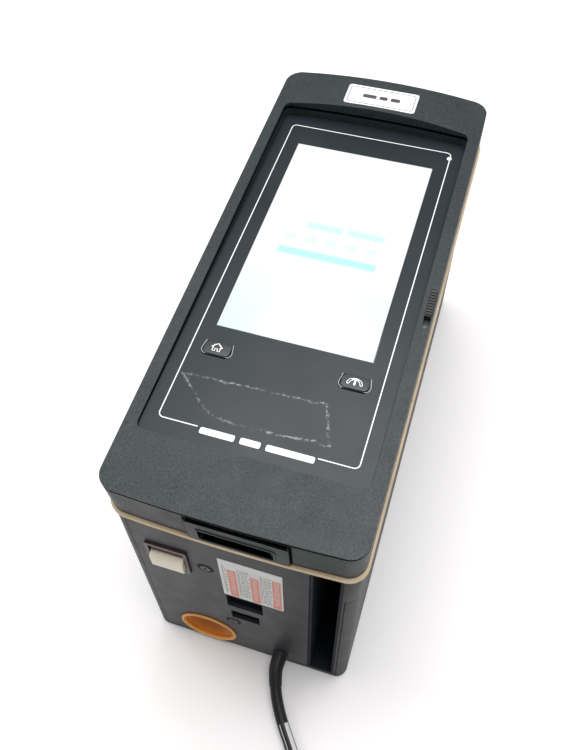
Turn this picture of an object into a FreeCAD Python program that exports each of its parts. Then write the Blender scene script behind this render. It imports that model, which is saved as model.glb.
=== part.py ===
import FreeCAD
import Part

import math
import os
import re

import Sketcher

# Tightening tool controller, lying on its back.  Millimetres.
# +X width, +Y from the connector end to the top of the display, +Z out of the display.
# Origin: the middle of the wall face, which is the face it lies on.

doc = FreeCAD.newDocument("tool_controller")
sheet = doc.addObject("Spreadsheet::Sheet", "dims")

DRIVING = [
    # the whole object
    ("front_width", 165), ("front_length", 385), ("stand_height", 248), ("end_slope", 0.0875),
    ("slope_start", 30), ("running_gap", 0.4), ("door_gap", 0.35), ("fit_gap", 0.05),
    # front frame, its crowned top and the sunken display panel
    ("corner_round", 12), ("end_bow", 2.5), ("frame_skirt", 35), ("frame_wall", 3),
    ("crown_near", 0.4), ("crown_peak", 7), ("crown_far", 3.5), ("groove_drop", 0.9), ("groove_width", 1.6),
    ("groove_depth", 1.4), ("panel_width", 147), ("panel_start", 42), ("panel_length", 303),
    ("panel_bow", 3.2), ("panel_corner", 5), ("panel_dip", 1.6), ("panel_tilt", 0.0244),
    ("panel_thick", 2), ("ledge_thick", 4),
    ("screen_width", 108), ("screen_length", 186), ("screen_start", 86.8), ("screen_thick", 1.6),
    ("window_margin", 7), ("display_thick", 6), ("tray_thick", 1.2), ("board_thick", 1.6),
    ("key_width", 19), ("key_height", 11), ("key_side", 46), ("key_start", 68.5), ("key_round", 3),
    ("key_travel", 0.8), ("lens_radius", 1.6), ("lens_side", 63.4), ("lens_start", 286.2),
    ("plate_width", 57), ("plate_length", 22.5), ("plate_back", 20.5), ("plate_thick", 1.6),
    ("plate_seat", 4.6),
    # pull latch and thumb slider
    ("latch_width", 65), ("latch_middle", 6.4), ("latch_drop", 6), ("latch_height", 28.5),
    ("latch_thick", 4),
    ("latch_proud", 1.5), ("finger_width", 47), ("finger_height", 14), ("pivot_drop", 9.2),
    ("latch_pin_radius", 1.5), ("latch_swing", 2), ("pin_grip", 4), ("slider_length", 22),
    ("slider_width", 4.2), ("slider_travel", 9),
    ("slider_start", 171.5), ("slider_side", 79.5), ("slider_thick", 4),
    # seal and box
    ("seal_thick", 5), ("seal_proud", 1.5), ("seal_width", 5.4), ("box_inset", 1.5), ("box_wall", 3),
    ("box_corner", 9),
    ("rim_height", 4), ("rim_width", 7), ("base_thick", 3), ("plate_gauge", 2), ("sill_height", 4),
    # connector panel and what is in it
    ("panel_left", 72), ("panel_right", 49.7), ("switch_side", -49), ("switch_rise", 159),
    ("switch_width", 30),
    ("switch_tall", 34), ("switch_rim", 2.1), ("switch_depth", 24), ("rocker_tip", 10),
    ("trunnion_radius", 1.5), ("rocker_sink", 3),
    ("socket_side", -33), ("socket_rise", 29), ("cap_radius", 23.4), ("cap_lip", 1.2), ("cap_cup", 20),
    ("cap_depth", 12), ("cap_wall", 1.6), ("socket_depth", 25), ("pin_radius", 1.2),
    ("port_side", 2.2), ("port_width", 27), ("port_tall", 21), ("port_rise", 107.5), ("aux_side", 1.2),
    ("aux_width", 22), ("aux_tall", 15), ("aux_rise", 80), ("port_depth", 20), ("port_wall", 1.5),
    ("label_side", 10), ("label_width", 44), ("label_tall", 63), ("label_rise", 152), ("label_thick", 0.3),
    ("screw_radius", 3.6), ("screw_shank", 2), ("screw_length", 12),
    ("upper_screw_side", -22.5), ("upper_screw_rise", 158), ("lower_screw_side", -9.5),
    ("lower_screw_rise", 63),
    # cable channel, side cover and module
    ("channel_width", 21.5), ("channel_depth", 60), ("liner_wall", 2), ("cover_side", 73.2),
    ("cover_top", 171.5),
    ("cover_length", 150), ("module_width", 18), ("module_length", 78), ("module_height", 130),
    # hinge
    ("pivot_out", 9), ("knuckle_radius", 5), ("hinge_pin_radius", 2.5), ("hinge_side", 45),
    ("knuckle_width", 10),
    ("ear_width", 6), ("bracket_gauge", 2), ("bracket_height", 36),
    # wall fixing
    ("fixing_width", 80), ("fixing_inset", 30.5), ("fixing_radius", 3.1), ("insert_radius", 4.6),
    ("insert_length", 11),
    ("boss_radius", 8),
    # inside
    ("deck_rise", 148), ("deck_gauge", 1.5), ("deck_width", 120), ("deck_length", 270), ("deck_start", 75),
    ("deck_shift", -13), ("post_radius", 4), ("standoff_height", 8), ("standoff_radius", 2.5),
    ("board_margin", 6),
    ("supply_width", 62), ("supply_length", 180), ("supply_height", 46), ("filter_width", 44),
    ("filter_length", 72),
    ("filter_height", 30), ("sink_width", 62), ("sink_length", 150), ("sink_base", 6), ("sink_height", 38),
    ("fin_count", 9), ("fin_gauge", 2), ("fan_size", 60), ("fan_depth", 25), ("fan_radius", 27.5),
    ("fan_hub", 12),
    ("can_radius", 11), ("can_height", 40), ("drive_gap", 6),
    # mains lead
    ("cord_radius", 4.6), ("cord_side", 27), ("cord_rise", 15), ("relief_length", 12), ("relief_radius", 6.6),
    ("gland_radius", 8.6), ("coil_radius", 46), ("coil_band", 20), ("coil_height", 37),
    ("pin_length", 19), ("plug_length", 36), ("plug_width", 38), ("plug_height", 26),
]
for row, (alias, amount) in enumerate(DRIVING, start=1):
    sheet.set(f"A{row}", alias)
    sheet.set(f"B{row}", str(amount))
    sheet.setAlias(f"B{row}", alias)
doc.recompute()

# Lengths worked out from the driving ones, in words that bind() understands.
WORKED = {
    "near_end": "-front_length / 2",
    "far_end": "front_length / 2",
    "skirt_low": "stand_height - frame_skirt",
    "seal_top": "skirt_low - door_gap",
    "box_top": "seal_top - seal_thick",
    "box_half": "front_width / 2 - box_inset",
    "box_far": "far_end - box_inset",
    "box_low": "plate_gauge",
    "inside_low": "box_low + base_thick",
    "slope_top": "stand_height - slope_start",
    "panel_low": "box_low + sill_height",
    "panel_high": "box_top - rim_height",
    "channel_left": "panel_right + 0.3",
    "channel_right": "channel_left + channel_width",
    "pivot_y": "far_end + pivot_out",
    "pivot_z": "seal_top - seal_thick / 2",
    "fixing_length": "front_length - 2 * fixing_inset",
    "latch_pivot_y": "near_end + 1.5",
    "latch_pivot_z": "stand_height - pivot_drop",
    "deck_top": "deck_rise + deck_gauge",
    "board_low": "deck_top + standoff_height",
    "board_top": "board_low + board_thick",
}
ALIASES = {alias for alias, _ in DRIVING}


def spelled(text):
    """Write an expression out in the sheet's own cell names."""
    def word(match):
        name = match.group(0)
        if name in ALIASES:
            return "dims." + name
        if name in WORKED:
            return "(" + spelled(WORKED[name]) + ")"
        return name
    return re.sub(r"[a-z][a-z_]+", word, str(text))


def amount_of(text):
    return float(sheet.evalExpression(spelled(text)))


def bind(thing, prop, text):
    thing.setExpression(prop, spelled(text))


def end_y(height, inset="0"):
    """Where the sloping connector end is at a height, moved into the box by an inset."""
    return f"near_end - end_slope * (slope_top - ({height})) + ({inset})"


def box(name, x, y, z):
    """A block from low to high along each axis."""
    thing = doc.addObject("Part::Box", name)
    for prop, axis, (low, high) in (("Length", "x", x), ("Width", "y", y), ("Height", "z", z)):
        bind(thing, prop, f"({high}) - ({low})")
        bind(thing, "Placement.Base." + axis, low)
    return thing


TURNS = {
    "z": FreeCAD.Rotation(),
    "y": FreeCAD.Rotation(FreeCAD.Vector(1, 0, 0), -90),
    "x": FreeCAD.Rotation(FreeCAD.Vector(0, 1, 0), 90),
}


def rod(name, radius, length, at, along="z"):
    """A cylinder that starts at a point and runs along +X, +Y or +Z."""
    thing = doc.addObject("Part::Cylinder", name)
    thing.Placement = FreeCAD.Placement(FreeCAD.Vector(), TURNS[along])
    bind(thing, "Radius", radius)
    bind(thing, "Height", length)
    for axis, text in zip("xyz", at):
        bind(thing, "Placement.Base." + axis, text)
    return thing


def cone(name, start_radius, end_radius, length, at, along="z"):
    thing = doc.addObject("Part::Cone", name)
    thing.Placement = FreeCAD.Placement(FreeCAD.Vector(), TURNS[along])
    bind(thing, "Radius1", start_radius)
    bind(thing, "Radius2", end_radius)
    bind(thing, "Height", length)
    for axis, text in zip("xyz", at):
        bind(thing, "Placement.Base." + axis, text)
    return thing


def wedge(name, x, z, inset, far):
    """A block whose connector end follows the slope, moved in by an inset."""
    thing = doc.addObject("Part::Wedge", name)
    thing.Placement = FreeCAD.Placement(FreeCAD.Vector(), FreeCAD.Rotation(FreeCAD.Vector(1, 0, 0), 90))
    for prop in ("Xmin", "X2min"):
        bind(thing, prop, x[0])
    for prop in ("Xmax", "X2max"):
        bind(thing, prop, x[1])
    bind(thing, "Ymin", z[0])
    bind(thing, "Ymax", z[1])
    for prop in ("Zmin", "Z2min"):
        bind(thing, prop, f"-({far})")
    bind(thing, "Zmax", f"-({end_y(z[0], inset)})")
    bind(thing, "Z2max", f"-({end_y(z[1], inset)})")
    return thing


def fuse(name, *shapes):
    thing = doc.addObject("Part::MultiFuse", name)
    thing.Shapes = list(shapes)
    return thing


def cut(name, base, *tools):
    thing = doc.addObject("Part::Cut", name)
    thing.Base = base
    thing.Tool = tools[0] if len(tools) == 1 else fuse(name + "_cutters", *tools)
    return thing


def common(name, first, second):
    thing = doc.addObject("Part::MultiCommon", name)
    thing.Shapes = [first, second]
    return thing


def rounded(name, base, radius, chosen):
    """Fillet the edges of a shape that a test picks."""
    doc.recompute()
    size = amount_of(radius)
    edges = [(number, size, size) for number, edge in enumerate(base.Shape.Edges, start=1) if chosen(edge)]
    thing = doc.addObject("Part::Fillet", name)
    thing.Base = base
    thing.Edges = edges
    return thing


def along_axis(*axes):
    """A test for straight edges that run along one of the given directions, within ten degrees."""
    def test(edge):
        if not isinstance(edge.Curve, Part.Line):
            return False
        way = edge.tangentAt(edge.FirstParameter)
        return any(abs(way.dot(FreeCAD.Vector(*axis))) > 0.98 for axis in axes)
    return test


def soft_box(name, x, y, z, radius, axes=((0, 0, 1),)):
    """A block with its edges along the given directions rounded."""
    return rounded(name, box(name + "_block", x, y, z), radius, along_axis(*axes))


def bowed(name, half_width, low, high, low_bow, high_bow, corner, z):
    """A padded outline with straight sides, ends that bow outwards and rounded corners."""
    body = doc.addObject("PartDesign::Body", name)
    sketch = body.newObject("Sketcher::SketchObject", name + "_outline")
    plane = next(item for item in body.Origin.OriginFeatures if item.Role == "XY_Plane")
    sketch.AttachmentSupport = [(plane, "")]
    sketch.MapMode = "FlatFace"
    half = amount_of(half_width)
    ends = {}
    for side, place, bulge in (("low", low, low_bow), ("high", high, high_bow)):
        rise = amount_of(bulge)
        ends[side] = (amount_of(place), (half * half + rise * rise) / (2 * rise), rise)
    low_y, low_radius, low_rise = ends["low"]
    high_y, high_radius, high_rise = ends["high"]
    up = FreeCAD.Vector(0, 0, 1)
    spread = math.asin(half / high_radius)
    far_circle = Part.Circle(FreeCAD.Vector(0, high_y + high_rise - high_radius, 0), up, high_radius)
    far_arc = Part.ArcOfCircle(far_circle, math.pi / 2 - spread, math.pi / 2 + spread)
    spread = math.asin(half / low_radius)
    near_circle = Part.Circle(FreeCAD.Vector(0, low_y - low_rise + low_radius, 0), up, low_radius)
    near_arc = Part.ArcOfCircle(near_circle, 1.5 * math.pi - spread, 1.5 * math.pi + spread)
    right = Part.LineSegment(FreeCAD.Vector(half, low_y, 0), FreeCAD.Vector(half, high_y, 0))
    left = Part.LineSegment(FreeCAD.Vector(-half, high_y, 0), FreeCAD.Vector(-half, low_y, 0))
    for curve in (right, far_arc, left, near_arc):
        sketch.addGeometry(curve, False)
    for first in range(4):
        sketch.addConstraint(Sketcher.Constraint("Coincident", first, 2, (first + 1) % 4, 1))
    for line in (0, 2):
        sketch.addConstraint(Sketcher.Constraint("Vertical", line))
    for arc in (1, 3):
        sketch.addConstraint(Sketcher.Constraint("PointOnObject", arc, 3, -2))
    named = [
        ("right_side", Sketcher.Constraint("DistanceX", -1, 1, 0, 1, half), half_width),
        ("left_side", Sketcher.Constraint("DistanceX", 2, 1, -1, 1, half), half_width),
        ("far_place", Sketcher.Constraint("DistanceY", -1, 1, 0, 2, high_y), high),
        ("near_place", Sketcher.Constraint("DistanceY", -1, 1, 0, 1, low_y), low),
        ("far_curve", Sketcher.Constraint("Radius", 1, high_radius), arc_radius(half_width, high_bow)),
        ("near_curve", Sketcher.Constraint("Radius", 3, low_radius), arc_radius(half_width, low_bow)),
    ]
    for label, constraint, text in named:
        index = sketch.addConstraint(constraint)
        sketch.renameConstraint(index, label)
        bind(sketch, "Constraints." + label, text)
    pad = body.newObject("PartDesign::Pad", name + "_pad")
    pad.Profile = sketch
    bind(pad, "Length", f"({z[1]}) - ({z[0]})")
    body.Tip = pad
    doc.recompute()
    corners = [f"Edge{number}" for number, edge in enumerate(pad.Shape.Edges, start=1)
               if along_axis((0, 0, 1))(edge)]
    fillet = body.newObject("PartDesign::Fillet", name + "_corners")
    fillet.Base = (pad, corners)
    bind(fillet, "Radius", corner)
    body.Tip = fillet
    bind(body, "Placement.Base.z", z[0])
    return body


def arc_radius(half_width, bulge):
    return f"(({half_width}) ^ 2 + ({bulge}) ^ 2) / (2 * ({bulge}))"


PARTS = []


def part(node, thing):
    """Name a finished piece and keep it for writing out."""
    thing.Label = node
    PARTS.append((node, thing))
    return thing


# ---------------------------------------------------------------------------------------------
# Two tilted working planes: the sunken display panel and the sloping connector end.

X_WAY = FreeCAD.Vector(1, 0, 0)
PANEL_TURN = FreeCAD.Rotation(X_WAY, -math.degrees(math.atan(amount_of("panel_tilt"))))
END_TURN = FreeCAD.Rotation(X_WAY, 90 - math.degrees(math.atan(amount_of("end_slope"))))


def placed(thing, turn):
    """Hold a piece in a turned set, so that it keeps its own place inside the set."""
    holder = doc.addObject("Part::Compound", thing.Name + "_set")
    holder.Links = [thing]
    holder.Placement = FreeCAD.Placement(FreeCAD.Vector(), turn)
    return holder


def on_panel(thing):
    """Move a piece drawn about the panel's near edge (x, along, up) to its place."""
    holder = placed(thing, PANEL_TURN)
    bind(holder, "Placement.Base.y", "near_end + panel_start")
    bind(holder, "Placement.Base.z", "stand_height - panel_dip")
    return holder


def on_end(thing, side, rise):
    """Move a piece drawn about a point of the end face (x, up, out) to its place."""
    holder = placed(thing, END_TURN)
    bind(holder, "Placement.Base.x", side)
    bind(holder, "Placement.Base.y", end_y(rise))
    bind(holder, "Placement.Base.z", rise)
    return holder


# ---------------------------------------------------------------------------------------------
# Front frame


def crowned_block():
    """A block whose top is arched across the width, flat at the near end, highest past the display."""
    half = amount_of("front_width / 2 + 2")
    low = amount_of("skirt_low - 1")
    top = amount_of("stand_height")
    near, far = amount_of("near_end"), amount_of("far_end")
    recess_far = amount_of("near_end + panel_start + panel_length")
    length = far - near
    sections = [
        (near - 12, amount_of("crown_near")),
        (near + length * 0.3, amount_of("crown_near + (crown_peak - crown_near) * 0.18")),
        (near + length * 0.62, amount_of("crown_near + (crown_peak - crown_near) * 0.6")),
        (recess_far, amount_of("crown_peak")),
        (far + 12, amount_of("crown_far")),
    ]
    wires = []
    for y, rise in sections:
        corners = [FreeCAD.Vector(x, y, z) for x,
                   z in ((half, top), (half, low), (-half, low), (-half, top))]
        sides = [Part.LineSegment(corners[i], corners[i + 1]).toShape() for i in range(3)]
        arch = Part.Arc(corners[3], FreeCAD.Vector(0, y, top + rise), corners[0]).toShape()
        wires.append(Part.Wire(sides + [arch]))
    crown = doc.addObject("Part::Feature", "crowned_block")
    crown.Shape = Part.makeLoft(wires, True, False)
    crown.Placement = FreeCAD.Placement()
    return crown


def frame_outline(name, inset, z):
    return bowed(name, f"front_width / 2 - ({inset})", f"near_end + ({inset})", f"far_end - ({inset})",
                 "end_bow", "end_bow", f"corner_round - ({inset}) * 0.8", z)


def panel_outline(name, inset, z):
    """An outline in the display panel's own plane."""
    return on_panel(bowed(name, f"panel_width / 2 - ({inset})", f"({inset})", f"panel_length - ({inset})",
                          "0.6", "panel_bow", "panel_corner", z))


def latch_opening():
    half = "latch_width / 2 + running_gap"
    return soft_box("latch_opening", (f"latch_middle - ({half})", f"latch_middle + ({half})"),
                    ("near_end - 8", "near_end + 12"),
                    ("skirt_low - 1", "stand_height - latch_drop + latch_swing"), "3", ((0, 1, 0),))


def finger_well():
    """The closed pocket behind the latch's finger slot."""
    well = [box("finger_well_back",
                ("latch_middle - finger_width / 2 - 3", "latch_middle + finger_width / 2 + 1"),
                ("near_end + 11", "near_end + 12.5"), ("skirt_low + 1", "latch_pivot_z - 5")),
            box("finger_well_left",
                ("latch_middle - finger_width / 2 - 3", "latch_middle - finger_width / 2 - 1.5"),
                ("near_end + 6", "near_end + 12.5"), ("skirt_low + 1", "latch_pivot_z - 5")),
            box("finger_well_right",
                ("latch_middle + finger_width / 2 - 0.5", "latch_middle + finger_width / 2 + 1"),
                ("near_end + 6", "near_end + 12.5"), ("skirt_low + 1", "latch_pivot_z - 5")),
            box("finger_well_roof",
                ("latch_middle - finger_width / 2 - 3", "latch_middle + finger_width / 2 + 1"),
                ("near_end + 6", "near_end + 12.5"), ("latch_pivot_z - 5", "latch_pivot_z - 3.5")),
            box("finger_well_post", ("latch_middle - 5", "latch_middle + 5"),
                ("near_end + 9", "near_end + 12.5"), ("latch_pivot_z - 3.5", "stand_height - frame_wall"))]
    return fuse("finger_well", *well)


def front_frame():
    blank = common("frame_blank",
                   frame_outline("frame_body", "0", ("skirt_low", "stand_height + crown_peak + 1")),
                   crowned_block())
    groove_z = ("stand_height - groove_drop - groove_width", "stand_height - groove_drop")
    groove = cut("frame_groove", frame_outline("groove_outer", "-2", groove_z),
                 frame_outline("groove_inner", "groove_depth", groove_z))
    recess = panel_outline("panel_recess", "-0.25", ("-panel_thick", "40"))
    window = on_panel(soft_box("display_window",
                               ("-screen_width / 2 - window_margin", "screen_width / 2 + window_margin"),
                               ("screen_start - window_margin",
                                "screen_start + screen_length + window_margin"),
                               ("-40", "5"), "4"))
    key_wells = [on_panel(box(f"key_well_{side}",
                              (f"{sign}key_side - key_width / 2", f"{sign}key_side + key_width / 2"),
                              ("key_start - key_height / 2", "key_start + key_height / 2"), ("-40", "5")))
                 for side, sign in (("left", "-"), ("right", ""))]
    hollow = frame_outline("frame_hollow", "frame_wall", ("skirt_low - 1", "stand_height + 20"))
    under_panel = on_panel(box("under_panel", ("-front_width", "front_width"),
                               ("-2 * front_length", "2 * front_length"),
                               ("-90", "-panel_thick - ledge_thick")))
    cavity = common("frame_cavity", hollow, under_panel)
    near_pocket = common("near_pocket",
                         frame_outline("near_hollow", "frame_wall", ("skirt_low - 1", "stand_height")),
                         box("near_pocket_block", ("-front_width", "front_width"),
                             ("near_end - 9", "near_end + panel_start - ledge_thick"),
                             ("skirt_low - 2", "stand_height - frame_wall")))
    far_pocket = common("far_pocket",
                        frame_outline("far_hollow", "frame_wall", ("skirt_low - 1", "stand_height")),
                        box("far_pocket_block", ("-front_width", "front_width"),
                            ("near_end + panel_start + panel_length + panel_bow + ledge_thick",
                             "far_end + 9"),
                            ("skirt_low - 2", "stand_height - frame_wall")))
    slider_slot = soft_box("slider_slot",
                           ("slider_side - slider_width / 2 - 0.3", "slider_side + slider_width / 2 + 0.3"),
                           ("near_end + slider_start - slider_travel - 0.5",
                            "near_end + slider_start + slider_length + 0.5"),
                           ("stand_height - slider_thick - 0.4", "stand_height + 12"), "1")
    plate_seat = soft_box("plate_seat", ("-plate_width / 2 - 0.15", "plate_width / 2 + 0.15"),
                          ("far_end - plate_back - plate_length / 2 - 0.15",
                           "far_end - plate_back + plate_length / 2 + 0.15"),
                          ("stand_height + plate_seat", "stand_height + 20"), "2.5")
    pin_bore = rod("latch_pin_bore", "latch_pin_radius", "latch_width + 8",
                   ("latch_middle - latch_width / 2 - 4", "latch_pivot_y", "latch_pivot_z"), "x")
    shell = cut("frame_shell", blank, groove, recess, window, *key_wells, cavity, near_pocket, far_pocket,
                slider_slot, plate_seat, latch_opening(), pin_bore)
    grips = [box(f"pin_grip_{side}", ends, ("near_end - 0.5", "latch_pivot_y + latch_pin_radius + 2"),
                 ("latch_pivot_z - pin_grip", "latch_pivot_z + pin_grip"))
             for side, ends in (("left", ("latch_middle - latch_width / 2 - running_gap - 5",
                                          "latch_middle - latch_width / 2 - running_gap")),
                                ("right", ("latch_middle + latch_width / 2 + running_gap",
                                           "latch_middle + latch_width / 2 + running_gap + 5")))]
    knuckles = [cut("pin_grips", fuse("pin_grip_pair", *grips), pin_bore)]
    for side, sign in (("left", "-"), ("right", "")):
        low = f"{sign}hinge_side - knuckle_width / 2"
        high = f"{sign}hinge_side + knuckle_width / 2"
        arm = box(f"door_arm_{side}", (low, high), ("far_end - 1", "pivot_y"),
                  ("skirt_low + running_gap", "pivot_z + knuckle_radius + 3"))
        barrel = rod(f"door_barrel_{side}", "knuckle_radius", "knuckle_width", (low, "pivot_y", "pivot_z"),
                     "x")
        bore = rod(f"door_bore_{side}", "hinge_pin_radius + fit_gap", "knuckle_width + 2",
                   (f"{low} - 1", "pivot_y", "pivot_z"), "x")
        knuckles.append(cut(f"door_knuckle_{side}", fuse(f"door_knuckle_blank_{side}", arm, barrel), bore))
    part("front_frame", fuse("front_frame", shell, finger_well(), *knuckles))


def front_panel():
    blank = panel_outline("panel_blank", "0", ("-panel_thick", "0"))
    screen_hole = on_panel(box("screen_hole", ("-screen_width / 2 - 0.05", "screen_width / 2 + 0.05"),
                               ("screen_start - 0.05", "screen_start + screen_length + 0.05"), ("-9", "9")))
    key_holes = [on_panel(soft_box(f"key_hole_{side}",
                                   (f"{sign}key_side - key_width / 2 - 0.3",
                                    f"{sign}key_side + key_width / 2 + 0.3"),
                                   ("key_start - key_height / 2 - 0.3", "key_start + key_height / 2 + 0.3"),
                                   ("-9", "9"), "key_round + 0.3"))
                 for side, sign in (("left", "-"), ("right", ""))]
    lens_hole = on_panel(rod("lens_hole", "lens_radius", "12", ("lens_side", "lens_start", "-6")))
    part("front_panel", cut("front_panel", blank, screen_hole, *key_holes, lens_hole))


def door_fittings():
    """What the front frame carries: screen, display, keys, lens, nameplate."""
    part("touch_screen", on_panel(box("touch_screen", ("-screen_width / 2", "screen_width / 2"),
                                      ("screen_start", "screen_start + screen_length"),
                                      ("-screen_thick", "0"))))
    part("status_lens", on_panel(rod("status_lens", "lens_radius", "panel_thick",
                                     ("lens_side", "lens_start", "-panel_thick"))))
    deep = "-panel_thick - display_thick"
    part("display_module", on_panel(soft_box("display_module",
                                             ("-screen_width / 2 - window_margin + 1",
                                              "screen_width / 2 + window_margin - 1"),
                                             ("screen_start - window_margin + 1",
                                              "screen_start + screen_length + window_margin - 1"),
                                             (deep, "-panel_thick"), "2")))
    tray_low = f"{deep} - tray_thick"
    half = "screen_width / 2 + window_margin + 6"
    tray = box("tray_block", (f"-({half})", half),
               ("screen_start - window_margin - 6", "screen_start + screen_length + window_margin + 6"),
               (tray_low, deep))
    slots = [box(f"tray_slot_{number}", ("-30", "30"),
                 (f"screen_start + screen_length * {0.2 + 0.2 * number} - 4",
                  f"screen_start + screen_length * {0.2 + 0.2 * number} + 4"),
                  (f"{tray_low} - 5", f"{deep} + 5"))
             for number in range(4)]
    tray = cut("tray_plate", tray, *slots)
    board_high = f"{tray_low} - 2"
    part("display_board",
         on_panel(box("display_board", ("-34", "34"), ("screen_start + 110", "screen_start + 170"),
                                       (f"{board_high} - board_thick", board_high))))
    chips = [box(f"display_chip_{number}", (f"{x}", f"{x + w}"),
                 (f"screen_start + {y}", f"screen_start + {y + length}"),
                 (f"{board_high} - board_thick - {tall}", f"{board_high} - board_thick"))
             for number, (x, y, w, length, tall) in enumerate(
                 ((-22, 124, 14, 14, 1.4), (4, 120, 22, 8, 3), (0, 142, 10, 16, 1.2),
                  (-26, 150, 12, 10, 2.4)))]
    part("display_chips", on_panel(fuse("display_chips", *chips)))
    spacers = [rod(f"display_spacer_{number}", "2", "2", (f"{x}", f"screen_start + {y}", board_high))
               for number, (x, y) in enumerate(((-30, 114), (30, 114), (-30, 166), (30, 166)))]
    part("display_tray", on_panel(fuse("display_tray", tray, *spacers)))
    for side, sign in (("home", "-"), ("gauge", "")):
        cap = soft_box(f"{side}_key_cap",
                       (f"{sign}key_side - key_width / 2", f"{sign}key_side + key_width / 2"),
                       ("key_start - key_height / 2", "key_start + key_height / 2"),
                       ("-panel_thick - 0.4", "0.25"), "key_round")
        part(f"{side}_key", on_panel(cap))
    bed = [soft_box(f"key_switch_{side}", (f"{sign}key_side - 4", f"{sign}key_side + 4"),
                    ("key_start - 4", "key_start + 4"),
                    ("-panel_thick - ledge_thick", "-panel_thick - 0.4 - key_travel - 0.3"), "1")
           for side, sign in (("left", "-"), ("right", ""))]
    strip = box("key_board", ("-key_side - key_width / 2 - 3", "key_side + key_width / 2 + 3"),
                ("key_start - key_height / 2 - 2", "key_start + key_height / 2 + 2"),
                ("-panel_thick - ledge_thick - board_thick", "-panel_thick - ledge_thick"))
    part("key_board", on_panel(fuse("key_board_set", strip, *bed)))
    part("nameplate", soft_box("nameplate_body", ("-plate_width / 2", "plate_width / 2"),
                               ("far_end - plate_back - plate_length / 2",
                                "far_end - plate_back + plate_length / 2"),
                               ("stand_height + plate_seat", "stand_height + plate_seat + plate_thick"),
                               "2.4"))


def latch():
    """The pull handle in the connector end of the front frame, its pin and its spring."""
    outer, inner = "near_end - end_bow - latch_proud", "near_end - end_bow - latch_proud + latch_thick"
    left, right = "latch_middle - latch_width / 2", "latch_middle + latch_width / 2"
    top = "stand_height - latch_drop"
    low = f"{top} - latch_height"
    plate = soft_box("latch_plate", (left, right), (outer, inner), (low, top), "3.2", ((0, 1, 0),))
    finger = soft_box("finger_slot",
                      ("latch_middle - finger_width / 2 - 1", "latch_middle + finger_width / 2 - 1"),
                      (f"{outer} - 1", "near_end + 9"),
                      (f"{low} + 5", f"{low} + 5 + finger_height"), "1.6", ((0, 1, 0),))
    barrel = rod("latch_barrel", "latch_pin_radius + 1.2", "latch_width - 6",
                 (f"{left} + 3", "latch_pivot_y", "latch_pivot_z"), "x")
    bore = rod("latch_bore", "latch_pin_radius + fit_gap", "latch_width + 20",
               (f"{left} - 10", "latch_pivot_y", "latch_pivot_z"), "x")
    web = box("latch_web", (f"{left} + 3", f"{right} - 3"), (f"{inner} - 0.5", "latch_pivot_y"),
              ("latch_pivot_z - 1.6", "latch_pivot_z + 1.6"))
    notch = box("spring_notch", ("latch_middle - 6", "latch_middle + 6"),
                ("latch_pivot_y - latch_pin_radius - 1.4", "near_end + 9"),
                ("latch_pivot_z - 5", "latch_pivot_z + 5"))
    part("latch_handle",
         cut("latch_handle", fuse("latch_blank", cut("latch_face", plate, finger), barrel, web),
                             bore, notch))
    part("latch_pin", rod("latch_pin_rod", "latch_pin_radius", "latch_width + 7",
                          ("latch_middle - latch_width / 2 - 3.5", "latch_pivot_y", "latch_pivot_z"), "x"))
    coil = cut("latch_spring", rod("spring_outer", "latch_pin_radius + 1.1", "10",
                                   ("latch_middle - 5", "latch_pivot_y", "latch_pivot_z"), "x"),
               rod("spring_inner", "latch_pin_radius + 0.3", "12",
                   ("latch_middle - 6", "latch_pivot_y", "latch_pivot_z"), "x"))
    part("latch_spring", coil)


def thumb_slider():
    low, high = "slider_side - slider_width / 2", "slider_side + slider_width / 2"
    start, end = "near_end + slider_start", "near_end + slider_start + slider_length"
    body = soft_box("slider_body", (low, high), (start, end),
                    ("stand_height - slider_thick", "stand_height + 0.4"), "0.8")
    grooves = [box(f"slider_groove_{number}", (f"{low} - 1", f"{high} + 1"),
                   (f"{start} + {2.1 + 3 * number}", f"{start} + {3.6 + 3 * number}"),
                   ("stand_height - 0.9", "stand_height + 2")) for number in range(7)]
    part("thumb_slider", cut("thumb_slider", body, *grooves))


# ---------------------------------------------------------------------------------------------
# Seal and box


def seal():
    z = ("seal_top - seal_thick", "seal_top")
    part("seal", cut("seal", frame_outline("seal_outer", "-seal_proud", z),
                     frame_outline("seal_inner", "seal_width - seal_proud", z)))


def box_blank(name, inset, z, far_inset):
    """The box's outer form, or the same form moved inwards."""
    block = wedge(name + "_block", (f"-box_half + ({inset})", f"box_half - ({inset})"), z, inset,
                  f"box_far - ({far_inset})")
    return rounded(name, block, f"box_corner - ({inset}) * 0.8", along_axis((0, 0, 1)))


def box_skin():
    """The box's wall alone, full height."""
    return cut("box_skin", box_blank("skin_outer", "0", ("box_low", "panel_high"), "0"),
               box_blank("skin_inner", "box_wall", ("box_low - 1", "panel_high + 1"), "box_wall"))


def cover_region(name, gap):
    return box(name, (f"cover_side + {gap}", "box_half + 5"),
               ("near_end - 60", f"near_end + cover_length - {gap}"),
               (f"panel_low + {gap}", f"cover_top - {gap}"))


def fixing_places():
    for across, side in enumerate(("-", "")):
        for back, way in enumerate(("-", "")):
            yield 2 * across + back, f"{side}fixing_width / 2", f"{way}fixing_length / 2"


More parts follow.
